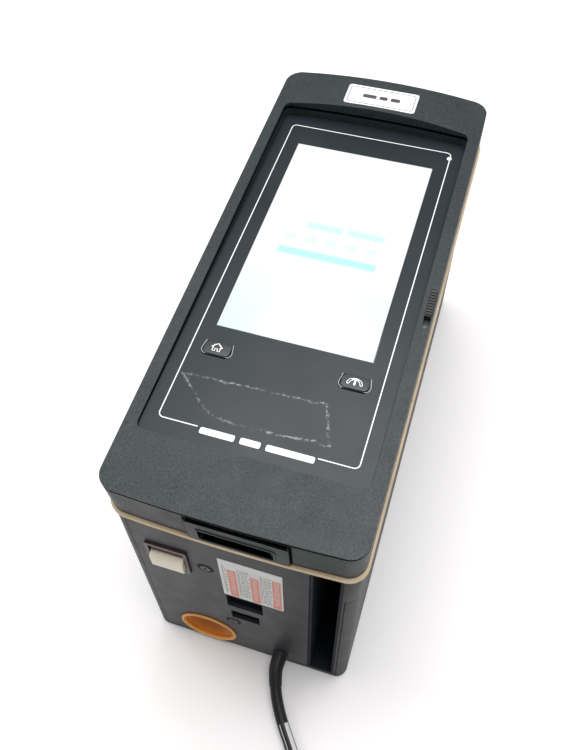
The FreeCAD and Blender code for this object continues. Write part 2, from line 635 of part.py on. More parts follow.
def housing():
    outer = box_blank("housing_outer", "0", ("box_low", "box_top"), "0")
    inner = box_blank("housing_inner", "box_wall", ("inside_low", "box_top + 5"), "box_wall")
    rim = cut("housing_rim",
              box_blank("rim_outer", "box_wall - 0.5", ("panel_high", "box_top"), "box_wall - 0.5"),
              box_blank("rim_inner", "rim_width", ("panel_high - 1", "box_top + 1"), "rim_width"))
    bosses = [rod(f"fixing_boss_{number}", "boss_radius", "insert_length + 2", (x, y, "inside_low - 1"))
              for number, x, y in fixing_places()]
    blank = fuse("housing_blank", cut("housing_hollow", outer, inner), rim, *bosses)
    panel_gap = box("panel_opening", ("-panel_left", "channel_left + 1"), ("near_end - 60", "near_end + 20"),
                    ("panel_low", "panel_high"))
    channel = box("channel_opening", ("channel_left", "channel_right"),
                  ("near_end - 60", "near_end + channel_depth"),
                  ("panel_low", "panel_high"))
    sockets = [rod(f"insert_seat_{number}", "insert_radius", "insert_length", (x, y, "box_low - 0.001"))
               for number, x, y in fixing_places()]
    vents = [box(f"vent_{row}_{column}", (f"{-56 + 30 * column}", f"{-34 + 30 * column}"),
                 ("box_far - 6", "box_far + 6"),
                 (f"{30 + 7 * row}", f"{33 + 7 * row}")) for row in range(8) for column in range(4)]
    part("housing", cut("housing", blank, panel_gap, channel, cover_region("cover_opening", "0"), *sockets,
                        *vents))


def end_plate(skin):
    """The connector panel, with everything that comes through it cut out."""
    region = box("panel_region", ("-panel_left + 0.25", "panel_right"), ("near_end - 60", "near_end + 5"),
                 ("panel_low + 0.25", "panel_high - 0.25"))
    blank = common("panel_blank_end", skin, region)
    switch = on_end(box("switch_cut",
                        ("-switch_width / 2 + switch_rim - 0.6", "switch_width / 2 - switch_rim + 0.6"),
                        ("-switch_tall / 2 + switch_rim - 0.6", "switch_tall / 2 - switch_rim + 0.6"),
                        ("-20", "20")),
                    "switch_side", "switch_rise")
    socket = on_end(rod("socket_cut", "cap_cup + 1.2", "60", ("0", "0", "-30")), "socket_side",
                    "socket_rise")
    port = on_end(box("port_cut", ("-port_width / 2", "port_width / 2"), ("-port_tall / 2", "port_tall / 2"),
                      ("-20", "20")), "port_side", "port_rise")
    aux = on_end(box("aux_cut", ("-aux_width / 2", "aux_width / 2"), ("-aux_tall / 2", "aux_tall / 2"),
                     ("-20", "20")), "aux_side", "aux_rise")
    screws = [on_end(rod(f"{name}_screw_cut", "screw_shank", "60", ("0", "0", "-30")), f"{name}_screw_side",
                     f"{name}_screw_rise") for name in ("upper", "lower")]
    seats = [on_end(rod(f"{name}_screw_seat", "screw_radius + 0.5", "20", ("0", "0", "-1.4")),
                    f"{name}_screw_side",
                    f"{name}_screw_rise") for name in ("upper", "lower")]
    lead = rod("lead_cut", "relief_radius", "40", ("cord_side", "near_end - 40", "cord_rise"), "y")
    part("connector_panel", cut("connector_panel", blank, switch, socket, port, aux, *screws, *seats, lead))


def side_cover(skin):
    part("side_cover", common("side_cover", skin, cover_region("cover_part", "running_gap")))


def channel_liner():
    outer = wedge("liner_outer", ("channel_left + 0.05", "channel_right - 0.05"),
                  ("panel_low + 0.05", "panel_high - 0.05"),
                  "0.3", "near_end + channel_depth - 0.05")
    inner = wedge("liner_inner", ("channel_left + liner_wall", "channel_right - liner_wall"),
                  ("panel_low + liner_wall", "panel_high + 5"), "-60",
                  "near_end + channel_depth - liner_wall")
    part("channel_liner", cut("channel_liner", outer, inner))


def panel_screws():
    made = []
    for name in ("upper", "lower"):
        head = rod(f"{name}_head", "screw_radius", "1.8", ("0", "0", "-1.4"))
        shank = rod(f"{name}_shank", "screw_shank", "screw_length", ("0", "0", "-1.4 - screw_length"))
        socket = box(f"{name}_socket", ("-1.6", "1.6"), ("-0.5", "0.5"), ("-0.6", "2"))
        cross = box(f"{name}_cross", ("-0.5", "0.5"), ("-1.6", "1.6"), ("-0.6", "2"))
        made.append(on_end(cut(f"{name}_screw", fuse(f"{name}_screw_blank", head, shank), socket, cross),
                           f"{name}_screw_side", f"{name}_screw_rise"))
    part("panel_screws", fuse("panel_screws", *made))


def mains_switch():
    hole_x, hole_y = "switch_width / 2 - switch_rim", "switch_tall / 2 - switch_rim"
    flange = soft_box("switch_flange", ("-switch_width / 2", "switch_width / 2"),
                      ("-switch_tall / 2", "switch_tall / 2"),
                      ("0", "1.8"), "1.5")
    sleeve = box("switch_sleeve", (f"-({hole_x}) - 0.5", f"{hole_x} + 0.5"),
                 (f"-({hole_y}) - 0.5", f"{hole_y} + 0.5"),
                 ("-12", "0.5"))
    hole = box("switch_hole", (f"-({hole_x}) + 0.5", f"{hole_x} - 0.5"),
               (f"-({hole_y}) + 0.5", f"{hole_y} - 0.5"), ("-14", "9"))
    bearing = rod("switch_bearing", "trunnion_radius + fit_gap", f"2 * ({hole_x}) + 0.2",
                  (f"-({hole_x}) - 0.1", "0", "-rocker_sink"), "x")
    frame = cut("switch_frame_local", fuse("switch_frame_blank", flange, sleeve), hole, bearing)
    part("switch_frame", on_end(frame, "switch_side", "switch_rise"))
    half_x, half_y = f"{hole_x} - 0.9", f"{hole_y} - 2.5"
    profile = doc.addObject("Part::Feature", "rocker_profile")
    tip = math.radians(amount_of("rocker_tip"))
    reach, width = amount_of(half_y), amount_of(f"2 * ({half_x})")
    low_lift = reach * math.tan(tip)
    outline = [(-reach, -5), (reach, -5), (reach, 1 - low_lift), (0, 1), (-reach, 1 + low_lift * 0.95)]
    wire = Part.makePolygon([FreeCAD.Vector(0, y, z) for y, z in outline + outline[:1]])
    profile.Shape = Part.Face(wire).extrude(FreeCAD.Vector(width, 0, 0))
    profile.Placement = FreeCAD.Placement(FreeCAD.Vector(-width / 2, 0, 0), FreeCAD.Rotation())
    trunnion = rod("rocker_trunnion", "trunnion_radius", f"2 * ({hole_x}) + 0.1",
                   (f"-({hole_x}) - 0.05", "0", "-rocker_sink"), "x")
    part("switch_rocker",
         on_end(fuse("switch_rocker_local", profile, trunnion), "switch_side", "switch_rise"))
    body = box("switch_body_block", (f"-({hole_x}) - 0.5", f"{hole_x} + 0.5"),
               (f"-({hole_y}) - 0.5", f"{hole_y} + 0.5"),
               ("-switch_depth", "-12.05"))
    tabs = [box(f"switch_tab_{number}", (f"{x - 0.4}", f"{x + 0.4}"), (f"{y - 3}", f"{y + 3}"),
                ("-switch_depth - 8", "-switch_depth + 1")) for number, (x, y) in
            enumerate(((-6, -8), (6, -8), (-6, 8), (6, 8)))]
    part("switch_body", on_end(fuse("switch_body_local", body, *tabs), "switch_side", "switch_rise"))


def tool_connector():
    cup = rod("cap_outer", "cap_cup", "cap_depth + cap_lip", ("0", "0", "-cap_depth"))
    lip = rod("cap_flange", "cap_radius", "cap_lip", ("0", "0", "0.05"))
    hollow = cone("cap_hollow", "cap_cup * 0.55", "cap_cup - cap_wall",
                  "cap_depth + cap_lip + 0.1 - cap_wall",
                  ("0", "0", "-cap_depth + cap_wall"))
    part("dust_cap", on_end(cut("dust_cap_local", fuse("cap_blank", cup, lip), hollow), "socket_side",
                            "socket_rise"))
    sleeve = cut("socket_sleeve",
                 rod("socket_outer", "cap_cup + 1.2", "socket_depth", ("0", "0", "-socket_depth")),
                 rod("socket_inner", "cap_cup + 0.35", "socket_depth", ("0", "0", "-socket_depth + 2")))
    part("tool_socket", on_end(sleeve, "socket_side", "socket_rise"))
    insert = rod("socket_insert_disc", "cap_cup - 1", "8", ("0", "0", "-socket_depth + 2"))
    ring = [(amount_of("cap_cup") * 0.55 * math.cos(math.radians(45 * k)),
             amount_of("cap_cup") * 0.55 * math.sin(math.radians(45 * k))) for k in range(8)] + [(0, 0)]
    holes = [rod(f"pin_hole_{number}", "pin_radius", "9", (f"{x:.3f}", f"{y:.3f}", "-socket_depth + 2"))
             for number, (x, y) in enumerate(ring)]
    part("socket_insert", on_end(cut("socket_insert_local", insert, *holes), "socket_side", "socket_rise"))
    pins = [rod(f"socket_pin_{number}", "pin_radius", "socket_depth - cap_depth - 3.5",
                (f"{x:.3f}", f"{y:.3f}", "-socket_depth + 2.5"))
            for number, (x, y) in enumerate(ring)]
    part("socket_pins", on_end(fuse("socket_pins_local", *pins), "socket_side", "socket_rise"))


def service_ports():
    for name in ("port", "aux"):
        wide, tall = f"{name}_width / 2", f"{name}_tall / 2"
        shell = cut(f"{name}_shell",
                    box(f"{name}_outer", (f"-{wide} - port_wall", f"{wide} + port_wall"),
                        (f"-{tall} - port_wall", f"{tall} + port_wall"),
                        ("-port_depth", "-box_wall - 0.05")),
                    box(f"{name}_inner", (f"-{wide}", wide), (f"-{tall}", tall), ("-port_depth + 2", "9")))
        tongue = box(f"{name}_tongue", (f"-{wide} * 0.7", f"{wide} * 0.7"), (f"-{tall}", f"-{tall} + 2"),
                     ("-port_depth + 1", "-box_wall - 4"))
        node = "upper_port" if name == "port" else "lower_port"
        part(node, on_end(fuse(f"{node}_local", shell, tongue), f"{name}_side", f"{name}_rise"))


def rating_label():
    part("rating_label", on_end(soft_box("label_sheet", ("-label_width / 2", "label_width / 2"),
                                         ("-label_tall / 2", "label_tall / 2"),
                                         ("0.02", "0.02 + label_thick"), "1"),
                                "label_side", "label_rise"))


def hinges():
    brackets, pins = [], []
    for side, sign in (("left", "-"), ("right", "")):
        leaf_low = f"{sign}hinge_side - knuckle_width / 2 - ear_width - running_gap"
        leaf_high = f"{sign}hinge_side + knuckle_width / 2 + ear_width + running_gap"
        leaf = box(f"leaf_{side}", (leaf_low, leaf_high), ("box_far + 0.02", "box_far + bracket_gauge"),
                   ("box_top - bracket_height", "box_top - 1"))
        shelf = box(f"shelf_{side}", (leaf_low, leaf_high), ("box_far + 0.02", "pivot_y + knuckle_radius"),
                    ("box_top - 7.5", "box_top - 1.2"))
        ears = [rod(f"ear_{side}_{number}", "knuckle_radius", "ear_width", (place, "pivot_y", "pivot_z"),
                    "x")
                for number, place in enumerate((leaf_low, f"{leaf_high} - ear_width"))]
        webs = [box(f"web_{side}_{number}", (place, f"{place} + ear_width"),
                    ("pivot_y - knuckle_radius + 0.6", "pivot_y + knuckle_radius - 0.6"),
                    ("box_top - 2", "pivot_z"))
                for number, place in enumerate((leaf_low, f"{leaf_high} - ear_width"))]
        relief = rod(f"knuckle_relief_{side}", "knuckle_radius + running_gap",
                     "knuckle_width + 2 * running_gap",
                     (f"{sign}hinge_side - knuckle_width / 2 - running_gap", "pivot_y", "pivot_z"), "x")
        bore = rod(f"ear_bore_{side}", "hinge_pin_radius + 0.02", "60",
                   (f"{leaf_low} - 5", "pivot_y", "pivot_z"), "x")
        brackets.append(cut(f"bracket_{side}", fuse(f"bracket_blank_{side}", leaf, shelf, *ears, *webs),
                            relief, bore))
        pins.append(rod(f"hinge_pin_{side}", "hinge_pin_radius", f"{leaf_high} - ({leaf_low})",
                        (leaf_low, "pivot_y", "pivot_z"), "x"))
    part("hinge_brackets", fuse("hinge_brackets", *brackets))
    part("hinge_pins", fuse("hinge_pins", *pins))


def wall_plate():
    plate = soft_box("wall_plate_blank", ("-box_half + 4", "box_half - 4"),
                     (f"{end_y('0')} + 5", "box_far - 5"),
                     ("0", "plate_gauge"), "6")
    holes = [rod(f"fixing_hole_{number}", "fixing_radius", "10", (x, y, "-5")) for number, x,
             y in fixing_places()]
    part("wall_plate", cut("wall_plate", plate, *holes))
    rings = [cut(f"insert_{number}",
                 rod(f"insert_outer_{number}", "insert_radius", "insert_length - 0.02", (x, y, "box_low")),
                 rod(f"insert_inner_{number}", "fixing_radius", "insert_length + 2", (x, y, "box_low - 1")))
             for number, x, y in fixing_places()]
    part("wall_inserts", fuse("wall_inserts", *rings))


# ---------------------------------------------------------------------------------------------
# Inside the box

SUPPLY_LEFT = "-box_half + box_wall + 4"
SUPPLY_NEAR = "near_end + 62"
SINK_LEFT = "-2"
SINK_NEAR = "near_end + 150"
FAN_NEAR = f"{SINK_NEAR} + sink_length + 5"
FAN_MIDDLE = f"{SINK_LEFT} + sink_width / 2"
FAN_RISE = "inside_low + 2 + fan_size / 2"


def power_parts():
    supply_top = "inside_low + 1 + supply_height"
    case = soft_box("supply_case", (SUPPLY_LEFT, f"{SUPPLY_LEFT} + supply_width"),
                    (SUPPLY_NEAR, f"{SUPPLY_NEAR} + supply_length"), ("inside_low + 0.02", supply_top), "2")
    slots = [box(f"supply_slot_{number}", (f"{SUPPLY_LEFT} + 10", f"{SUPPLY_LEFT} + supply_width - 10"),
                 (f"{SUPPLY_NEAR} + {30 + 12 * number}", f"{SUPPLY_NEAR} + {34 + 12 * number}"),
                 (f"{supply_top} - 1.5", f"{supply_top} + 2")) for number in range(11)]
    strip = box("terminal_block", (f"{SUPPLY_LEFT} + 6", f"{SUPPLY_LEFT} + supply_width - 6"),
                (f"{SUPPLY_NEAR} - 14", f"{SUPPLY_NEAR} + 1"), ("inside_low + 12", "inside_low + 26"))
    screws = [rod(f"terminal_bore_{number}", "2.4", "20",
                  (f"{SUPPLY_LEFT} + {12 + 9.5 * number}", f"{SUPPLY_NEAR} - 7",
                   "inside_low + 22")) for number in range(5)]
    part("power_supply",
         fuse("power_supply", cut("supply_vented", case, *slots), cut("supply_terminals", strip, *screws)))
    part("mains_filter",
         soft_box("mains_filter", ("-8", "-8 + filter_width"),
                  ("near_end + 40", "near_end + 40 + filter_length"),
                                  ("inside_low + 0.02", "inside_low + filter_height"), "2"))
    studs = [rod(f"earth_stud_{number}", "2", "12",
                 (f"{-70 + 12 * number}", "near_end + 36", "inside_low + 0.02"))
             for number in range(2)]
    nuts = [rod(f"earth_nut_{number}", "4", "3.2",
                (f"{-70 + 12 * number}", "near_end + 36", "inside_low + 2"))
            for number in range(2)]
    part("earth_studs", fuse("earth_studs", *studs, *nuts))


def drive_parts():
    sink_top = "inside_low + 0.02 + sink_height"
    base = box("sink_base_plate", (SINK_LEFT, f"{SINK_LEFT} + sink_width"),
               (SINK_NEAR, f"{SINK_NEAR} + sink_length"),
               (f"{sink_top} - sink_base", sink_top))
    fins = []
    for number in range(int(amount_of("fin_count"))):
        place = f"{SINK_LEFT} + (sink_width - fin_gauge) * {number} / (fin_count - 1)"
        fins.append(box(f"sink_fin_{number}", (place, f"{place} + fin_gauge"),
                        (SINK_NEAR, f"{SINK_NEAR} + sink_length"),
                        ("inside_low + 0.02", f"{sink_top} - sink_base / 2")))
    part("heat_sink", fuse("heat_sink", base, *fins))
    modules = [soft_box(f"power_module_{number}", (f"{SINK_LEFT} + 8", f"{SINK_LEFT} + sink_width - 8"),
                        (f"{SINK_NEAR} + {14 + 46 * number}", f"{SINK_NEAR} + {46 + 46 * number}"),
                        (f"{sink_top} + 0.02", f"{sink_top} + drive_gap"), "1.5") for number in range(3)]
    board_low = f"{sink_top} + drive_gap + 0.02"
    part("drive_board", box("drive_board", (SINK_LEFT, f"{SINK_LEFT} + sink_width"),
                            (SINK_NEAR, f"{SINK_NEAR} + sink_length"),
                            (board_low, f"{board_low} + board_thick")))
    can_low = f"{board_low} + board_thick + 0.02"
    cans = [rounded(f"capacitor_{number}", rod(f"capacitor_can_{number}", "can_radius", "can_height",
                                               (f"{SINK_LEFT} + sink_width / 4 + {x}",
                                                f"{SINK_NEAR} + 24 + {y}", can_low)),
                    "1.5", lambda edge: edge.BoundBox.ZLength < 0.01)
            for number, (x, y) in enumerate(((0, 0), (30, 0), (0, 28), (30, 28)))]
    part("capacitors", fuse("capacitors", *cans))
    return modules


def fan():
    low_x, high_x = f"{FAN_MIDDLE} - fan_size / 2", f"{FAN_MIDDLE} + fan_size / 2"
    square = soft_box("fan_square", (low_x, high_x), (FAN_NEAR, f"{FAN_NEAR} + fan_depth"),
                      (f"{FAN_RISE} - fan_size / 2", f"{FAN_RISE} + fan_size / 2"), "4", ((0, 1, 0),))
    bore = rod("fan_bore", "fan_radius + 0.8", "fan_depth + 4", (FAN_MIDDLE, f"{FAN_NEAR} - 2", FAN_RISE),
               "y")
    corners = [rod(f"fan_screw_{a}{b}", "2.2", "fan_depth + 4",
                   (f"{FAN_MIDDLE} {a} (fan_size / 2 - 5)", f"{FAN_NEAR} - 2",
                    f"{FAN_RISE} {b} (fan_size / 2 - 5)"), "y")
               for a in "+-" for b in "+-"]
    spokes = [box("fan_spoke_across", (low_x + " + 1", high_x + " - 1"), (FAN_NEAR, f"{FAN_NEAR} + 3"),
                  (f"{FAN_RISE} - 1.6", f"{FAN_RISE} + 1.6")),
              box("fan_spoke_up", (f"{FAN_MIDDLE} - 1.6", f"{FAN_MIDDLE} + 1.6"),
                  (FAN_NEAR, f"{FAN_NEAR} + 3"),
                  (f"{FAN_RISE} - fan_size / 2 + 1", f"{FAN_RISE} + fan_size / 2 - 1"))]
    motor = rod("fan_motor", "fan_hub - 1", "3", (FAN_MIDDLE, FAN_NEAR, FAN_RISE), "y")
    shaft = rod("fan_shaft", "2", "fan_depth - 4", (FAN_MIDDLE, FAN_NEAR, FAN_RISE), "y")
    part("fan_frame", fuse("fan_frame", cut("fan_housing", square, bore, *corners), *spokes, motor, shaft))
    hub = rod("rotor_hub", "fan_hub", "fan_depth - 6", (FAN_MIDDLE, f"{FAN_NEAR} + 3.6", FAN_RISE), "y")
    well = rod("rotor_bore", "2 + fit_gap", "fan_depth", (FAN_MIDDLE, f"{FAN_NEAR} + 3", FAN_RISE), "y")
    blades = []
    centre = FreeCAD.Vector(amount_of(FAN_MIDDLE), amount_of(f"{FAN_NEAR} + fan_depth / 2 + 0.5"),
                            amount_of(FAN_RISE))
    for number in range(7):
        blade = doc.addObject("Part::Box", f"fan_blade_{number}")
        bind(blade, "Length", "fan_radius - fan_hub + 1.5")
        bind(blade, "Width", "1.2")
        bind(blade, "Height", "fan_depth * 0.62")
        start = FreeCAD.Placement(FreeCAD.Vector(amount_of("fan_hub - 1.5"), -0.6,
                                                 -amount_of("fan_depth * 0.31")),
                                  FreeCAD.Rotation())
        pitch = FreeCAD.Placement(FreeCAD.Vector(), FreeCAD.Rotation(X_WAY, 52))
        spin = FreeCAD.Placement(centre, FreeCAD.Rotation(FreeCAD.Vector(0, 1, 0), number * 360 / 7))
        blade.Placement = spin.multiply(pitch).multiply(start)
        blades.append(blade)
    part("fan_rotor", cut("fan_rotor", fuse("rotor_blank", hub, *blades), well))


def deck(others):
    """The card frame across the box, its posts, the boards on it and the parts on every board."""
    left, right = "deck_shift - deck_width / 2", "deck_shift + deck_width / 2"
    near, far = "near_end + deck_start", "near_end + deck_start + deck_length"
    plate = soft_box("deck_plate", (left, right), (near, far), ("deck_rise", "deck_top"), "4")
    slots = [soft_box(f"deck_slot_{number}", (f"{left} + 24", f"{right} - 24"),
                      (f"{near} + {40 + 50 * number}", f"{near} + {58 + 50 * number}"),
                      ("deck_rise - 5", "deck_top + 5"), "3") for number in range(4)]
    part("card_frame", cut("card_frame", plate, *slots))
    floor = "inside_low + 0.02"
    feet = [(f"{left} + 7", f"{near} + 6", "inside_low + 1.02 + supply_height"),
            (f"{right} - 5", f"{near} + 47", floor),
            (f"{left} + 7", f"{far} - 6", floor), (f"{right} - 6", f"{far} - 4.5", floor)]
    posts = [rod(f"deck_post_{number}", "post_radius", f"deck_rise - 0.02 - ({z})", (x, y, z))
             for number, (x, y, z) in enumerate(feet)]
    part("frame_posts", fuse("frame_posts", *posts))
    margin = "board_margin"
    part("main_board", soft_box("main_board", (f"{left} + {margin}", f"{right} - {margin}"),
                                (f"{near} + {margin}", f"{far} - {margin}"), ("board_low", "board_top"),
                                "3"))
    corners = [(f"{side} {way} 11", f"{end} {turn} 12") for side, way in ((left, "+"), (right, "-"))
               for end, turn in ((near, "+"), (far, "-"))]
    pillars = [rod(f"standoff_{number}", "standoff_radius", "standoff_height - 0.04",
                   (x, y, "deck_top + 0.02"))
               for number, (x, y) in enumerate(corners)]
    heads = [rounded(f"board_screw_{number}",
                     rod(f"board_screw_head_{number}", "3", "2", (x, y, "board_top + 0.02")),
                     "0.6", lambda edge: edge.BoundBox.ZLength < 0.01)
             for number, (x, y) in enumerate(corners)]
    part("board_fixings", fuse("board_fixings", *pillars, *heads))
    top = "board_top + 0.02"
    chips = [(-52, 40, 36, 36, 3), (-4, 44, 20, 26, 2), (-50, 92, 16, 30, 2), (-26, 92, 16, 30, 2),
             (0, 96, 22, 14, 7),
             (-58, 150, 26, 26, 2.4), (-22, 148, 40, 18, 9), (-58, 196, 14, 44, 11), (-36, 206, 18, 18, 3),
             (-8, 200, 24, 10, 5), (-8, 220, 24, 16, 4)]
    blocks = [box(f"board_part_{number}", (f"{x}", f"{x + wide}"), (f"{near} + {y}", f"{near} + {y + deep}"),
                  (top, f"{top} + {tall}")) for number, (x, y, wide, deep, tall) in enumerate(chips)]
    part("board_parts", fuse("board_parts", *blocks, *others))
    part("coin_cell",
         rounded("coin_cell", rod("coin_cell_disc", "10", "4", (f"{right} - 26", f"{near} + 124", top)),
                              "0.8", lambda edge: edge.BoundBox.ZLength < 0.01))
    spreader_base = box("spreader_base", ("-50", "-18"), (f"{near} + 42", f"{near} + 74"),
                        (f"{top} + 3.02", f"{top} + 6"))
    ribs = [box(f"spreader_rib_{number}", (f"{-50 + 4.3 * number}", f"{-48.1 + 4.3 * number}"),
                (f"{near} + 42", f"{near} + 74"), (f"{top} + 5", f"{top} + 16")) for number in range(8)]
    part("chip_cooler", fuse("chip_cooler", spreader_base, *ribs))


def interface_board():
    part("interface_board", on_end(box("interface_board", ("-26", "24"), ("-42", "24"),
                                       ("-port_depth - 0.02 - board_thick", "-port_depth - 0.02")),
                                       "port_side", "port_rise"))
    backs = [box(f"interface_part_{number}", (f"{x}", f"{x + wide}"), (f"{y}", f"{y + tall}"),
                 (f"-port_depth - 0.04 - board_thick - {deep}", "-port_depth - 0.04 - board_thick"))
             for number,
             (x, y, wide, tall,
              deep) in enumerate(((-20, -8, 14, 14, 2), (0, -10, 18, 12, 8), (-18, -36, 30, 8, 6)))]
    return on_end(fuse("interface_parts", *backs), "port_side", "port_rise")


def option_module():
    right = "box_half - box_wall - 1.2"
    body = soft_box("module_body", (f"{right} - module_width", right),
                    ("near_end + channel_depth + 4", "near_end + channel_depth + 4 + module_length"),
                    ("inside_low + 0.02", "inside_low + module_height"), "2")
    windows = [box(f"module_port_{number}", (f"{right} - 3", f"{right} + 5"),
                   ("near_end + channel_depth + 24", "near_end + channel_depth + 40"),
                   (f"inside_low + {24 + 30 * number}",
                    f"inside_low + {38 + 30 * number}")) for number in range(3)]
    part("option_module", cut("option_module", body, *windows))


# ---------------------------------------------------------------------------------------------
# Mains lead: the route's points, chosen by hand, and the tube of straight runs and tangent arcs.
# The points were laid out for one place of the connector end and move with it.

LAID_OUT_END = -192.5
LEAD_ROUTE = [
    (27, -222.2, 15), (30.4, -236, 11.5), (42, -256, 6), (57, -274.5, 4.7), (77, -304.2, 4.7),
    (92.3, -330.8, 4.7),
]
COIL_MIDDLE = (52, -358)
TAIL_ROUTE = [(32.1, -400.6, 14.1), (10.4, -390.5, 13), (-12, -382, 13)]


def tube(name, points):
    """A round tube along straight runs joined by tangent arcs."""
    spots = [FreeCAD.Vector(x, y + amount_of("near_end") - LAID_OUT_END, z) for x, y, z in points]
    radius = amount_of("cord_radius")
    edges = []
    start = spots[0]
    for before, here, after in zip(spots, spots[1:], spots[2:]):
        inward, outward = (here - before).normalize(), (after - here).normalize()
        turn = inward.getAngle(outward)
        reach = 0.45 * min((here - before).Length, (after - here).Length)
        bend = reach / math.tan(turn / 2)
        print(f"{name} bend radius {bend:.1f} mm, turn {math.degrees(turn):.1f} degrees")
        arc_start, arc_end = here - inward * reach, here + outward * reach
        middle = here + (outward - inward).normalize() * (bend / math.cos(turn / 2) - bend)
        edges.append(Part.LineSegment(start, arc_start).toShape())
        edges.append(Part.Arc(arc_start, middle, arc_end).toShape())
        start = arc_end
    edges.append(Part.LineSegment(start, spots[-1]).toShape())
    path = Part.Wire(edges)
    ring = Part.Wire([Part.Circle(spots[0], (spots[1] - spots[0]).normalize(), radius).toShape()])
    solid = path.makePipeShell([ring], True, False)
    expected = math.pi * radius ** 2 * path.Length
    print(f"{name} length {path.Length:.1f} mm, volume {solid.Volume:.0f} of {expected:.0f} mm3")
    thing = doc.addObject("Part::Feature", name)
    thing.Shape = solid
    thing.Placement = FreeCAD.Placement()
    return thing


def mains_lead():
    tip = f"{end_y('cord_rise')} - relief_length"
    taper = cone("relief_taper", "cord_radius + 0.9", "relief_radius", "relief_length - 2",
                 ("cord_side", tip, "cord_rise"), "y")
    stem = rod("relief_stem", "relief_radius", "relief_length - 8",
               ("cord_side", f"{tip} + relief_length - 2.01", "cord_rise"), "y")
    part("strain_relief", fuse("strain_relief", taper, stem))
    nut = cut("gland_ring",
              rod("gland_outer", "gland_radius", "5",
                  ("cord_side", f"{tip} + relief_length + box_wall + 0.9", "cord_rise"), "y"),
              rod("gland_bore", "relief_radius + 0.02", "20",
                  ("cord_side", f"{tip} + relief_length", "cord_rise"), "y"))
    part("gland_nut", nut)
    part("mains_lead", tube("mains_lead", LEAD_ROUTE))
    x, y = str(COIL_MIDDLE[0]), f"near_end + {COIL_MIDDLE[1] - LAID_OUT_END}"
    part("lead_coil",
         cut("lead_coil", rod("coil_outer", "coil_radius + coil_band / 2", "coil_height", (x, y, "0.1")),
                          rod("coil_inner", "coil_radius - coil_band / 2", "coil_height + 4", (x, y, "-2"))))
    part("lead_tail", tube("lead_tail", TAIL_ROUTE))


def mains_plug():
    """The plug lies beside the coil, in line with the end of the tail."""
    before, tip = (FreeCAD.Vector(*point) for point in TAIL_ROUTE[-2:])
    heading = math.degrees(math.atan2(tip.y - before.y, tip.x - before.x))

    def lying(thing):
        holder = placed(thing, FreeCAD.Rotation(FreeCAD.Vector(0, 0, 1), heading))
        holder.Placement.Base = FreeCAD.Vector(tip.x, tip.y + amount_of("near_end") - LAID_OUT_END, 0)
        return holder

    middle = "plug_height / 2"
    boot = cone("plug_boot", "cord_radius + 0.8", "7", "20.5", ("0", "0", middle), "x")
    body = soft_box("plug_block", ("20", "20 + plug_length"), ("-plug_width / 2", "plug_width / 2"),
                    ("0.1", "plug_height"),
                    "7", ((1, 0, 0),))
    part("plug_body", lying(fuse("plug_body_local", body, boot)))

    def pin_tip(edge):
        return edge.BoundBox.XLength < 0.01 and edge.CenterOfMass.x > amount_of("25 + plug_length")

    pins = [rounded(f"plug_pin_{number}", rod(f"plug_pin_rod_{number}", "2.4", "pin_length",
                                              ("20.02 + plug_length", f"{place}", middle), "x"),
                    "1.2", pin_tip)
            for number, place in enumerate((-9.5, 9.5))]
    part("plug_pins", lying(fuse("plug_pins_local", *pins)))


front_frame()
front_panel()
door_fittings()
latch()
thumb_slider()
seal()
housing()
SKIN = box_skin()
end_plate(SKIN)
side_cover(SKIN)
channel_liner()
panel_screws()
mains_switch()
tool_connector()
service_ports()
rating_label()
hinges()
wall_plate()
power_parts()
deck([*drive_parts(), interface_board()])
fan()
option_module()
mains_lead()
mains_plug()
doc.recompute()

faults = [f"{thing.Name} {thing.State}" for thing in doc.Objects
          if any(word in ("Invalid", "Error") for word in thing.State)]
for node, thing in PARTS:
    if thing.Shape.isNull() or not thing.Shape.isValid():
        faults.append(f"{node} has no valid shape")
    elif not thing.Shape.Solids:
        faults.append(f"{node} holds no solid")
if faults:
    raise RuntimeError("; ".join(faults))

os.makedirs("parts", exist_ok=True)
for node, thing in PARTS:
    thing.Shape.exportStep(f"parts/{node}.step")
print(f"{len(PARTS)} nodes written")
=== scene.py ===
"""Tightening tool controller lying on its back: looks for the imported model.  Metres, in the row frame."""
import bmesh
import bpy
import math
import random
from mathutils import Matrix, Vector


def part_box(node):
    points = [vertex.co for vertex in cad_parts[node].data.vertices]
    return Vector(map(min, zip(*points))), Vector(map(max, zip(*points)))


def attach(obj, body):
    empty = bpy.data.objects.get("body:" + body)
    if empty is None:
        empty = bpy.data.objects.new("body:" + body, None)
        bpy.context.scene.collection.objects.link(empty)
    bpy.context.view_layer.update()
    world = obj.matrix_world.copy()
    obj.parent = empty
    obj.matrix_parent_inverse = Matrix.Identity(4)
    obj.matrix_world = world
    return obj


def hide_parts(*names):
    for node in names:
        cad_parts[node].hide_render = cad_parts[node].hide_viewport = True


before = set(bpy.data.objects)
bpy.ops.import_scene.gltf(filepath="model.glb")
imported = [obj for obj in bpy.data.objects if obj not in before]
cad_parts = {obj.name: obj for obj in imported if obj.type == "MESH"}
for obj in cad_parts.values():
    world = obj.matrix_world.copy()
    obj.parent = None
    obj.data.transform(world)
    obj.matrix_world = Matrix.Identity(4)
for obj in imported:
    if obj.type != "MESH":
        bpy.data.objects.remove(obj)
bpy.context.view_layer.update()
scene = bpy.context.scene
MM = 0.001
random.seed(7)

# Places that several pieces share, in millimetres
PANEL_NEAR, PANEL_TOP, PANEL_SLOPE = -150.5, 246.4, 0.0244
BOX_END, BOX_TOP, END_SLOPE = -192.5, 218, 0.0875
KEY_MIDDLES = {"home": -45.9, "gauge": 46.6}

SHADOW = (0.0008, 0.0009, 0.0012)

# ---------------------------------------------------------------------------------------------
# Camera

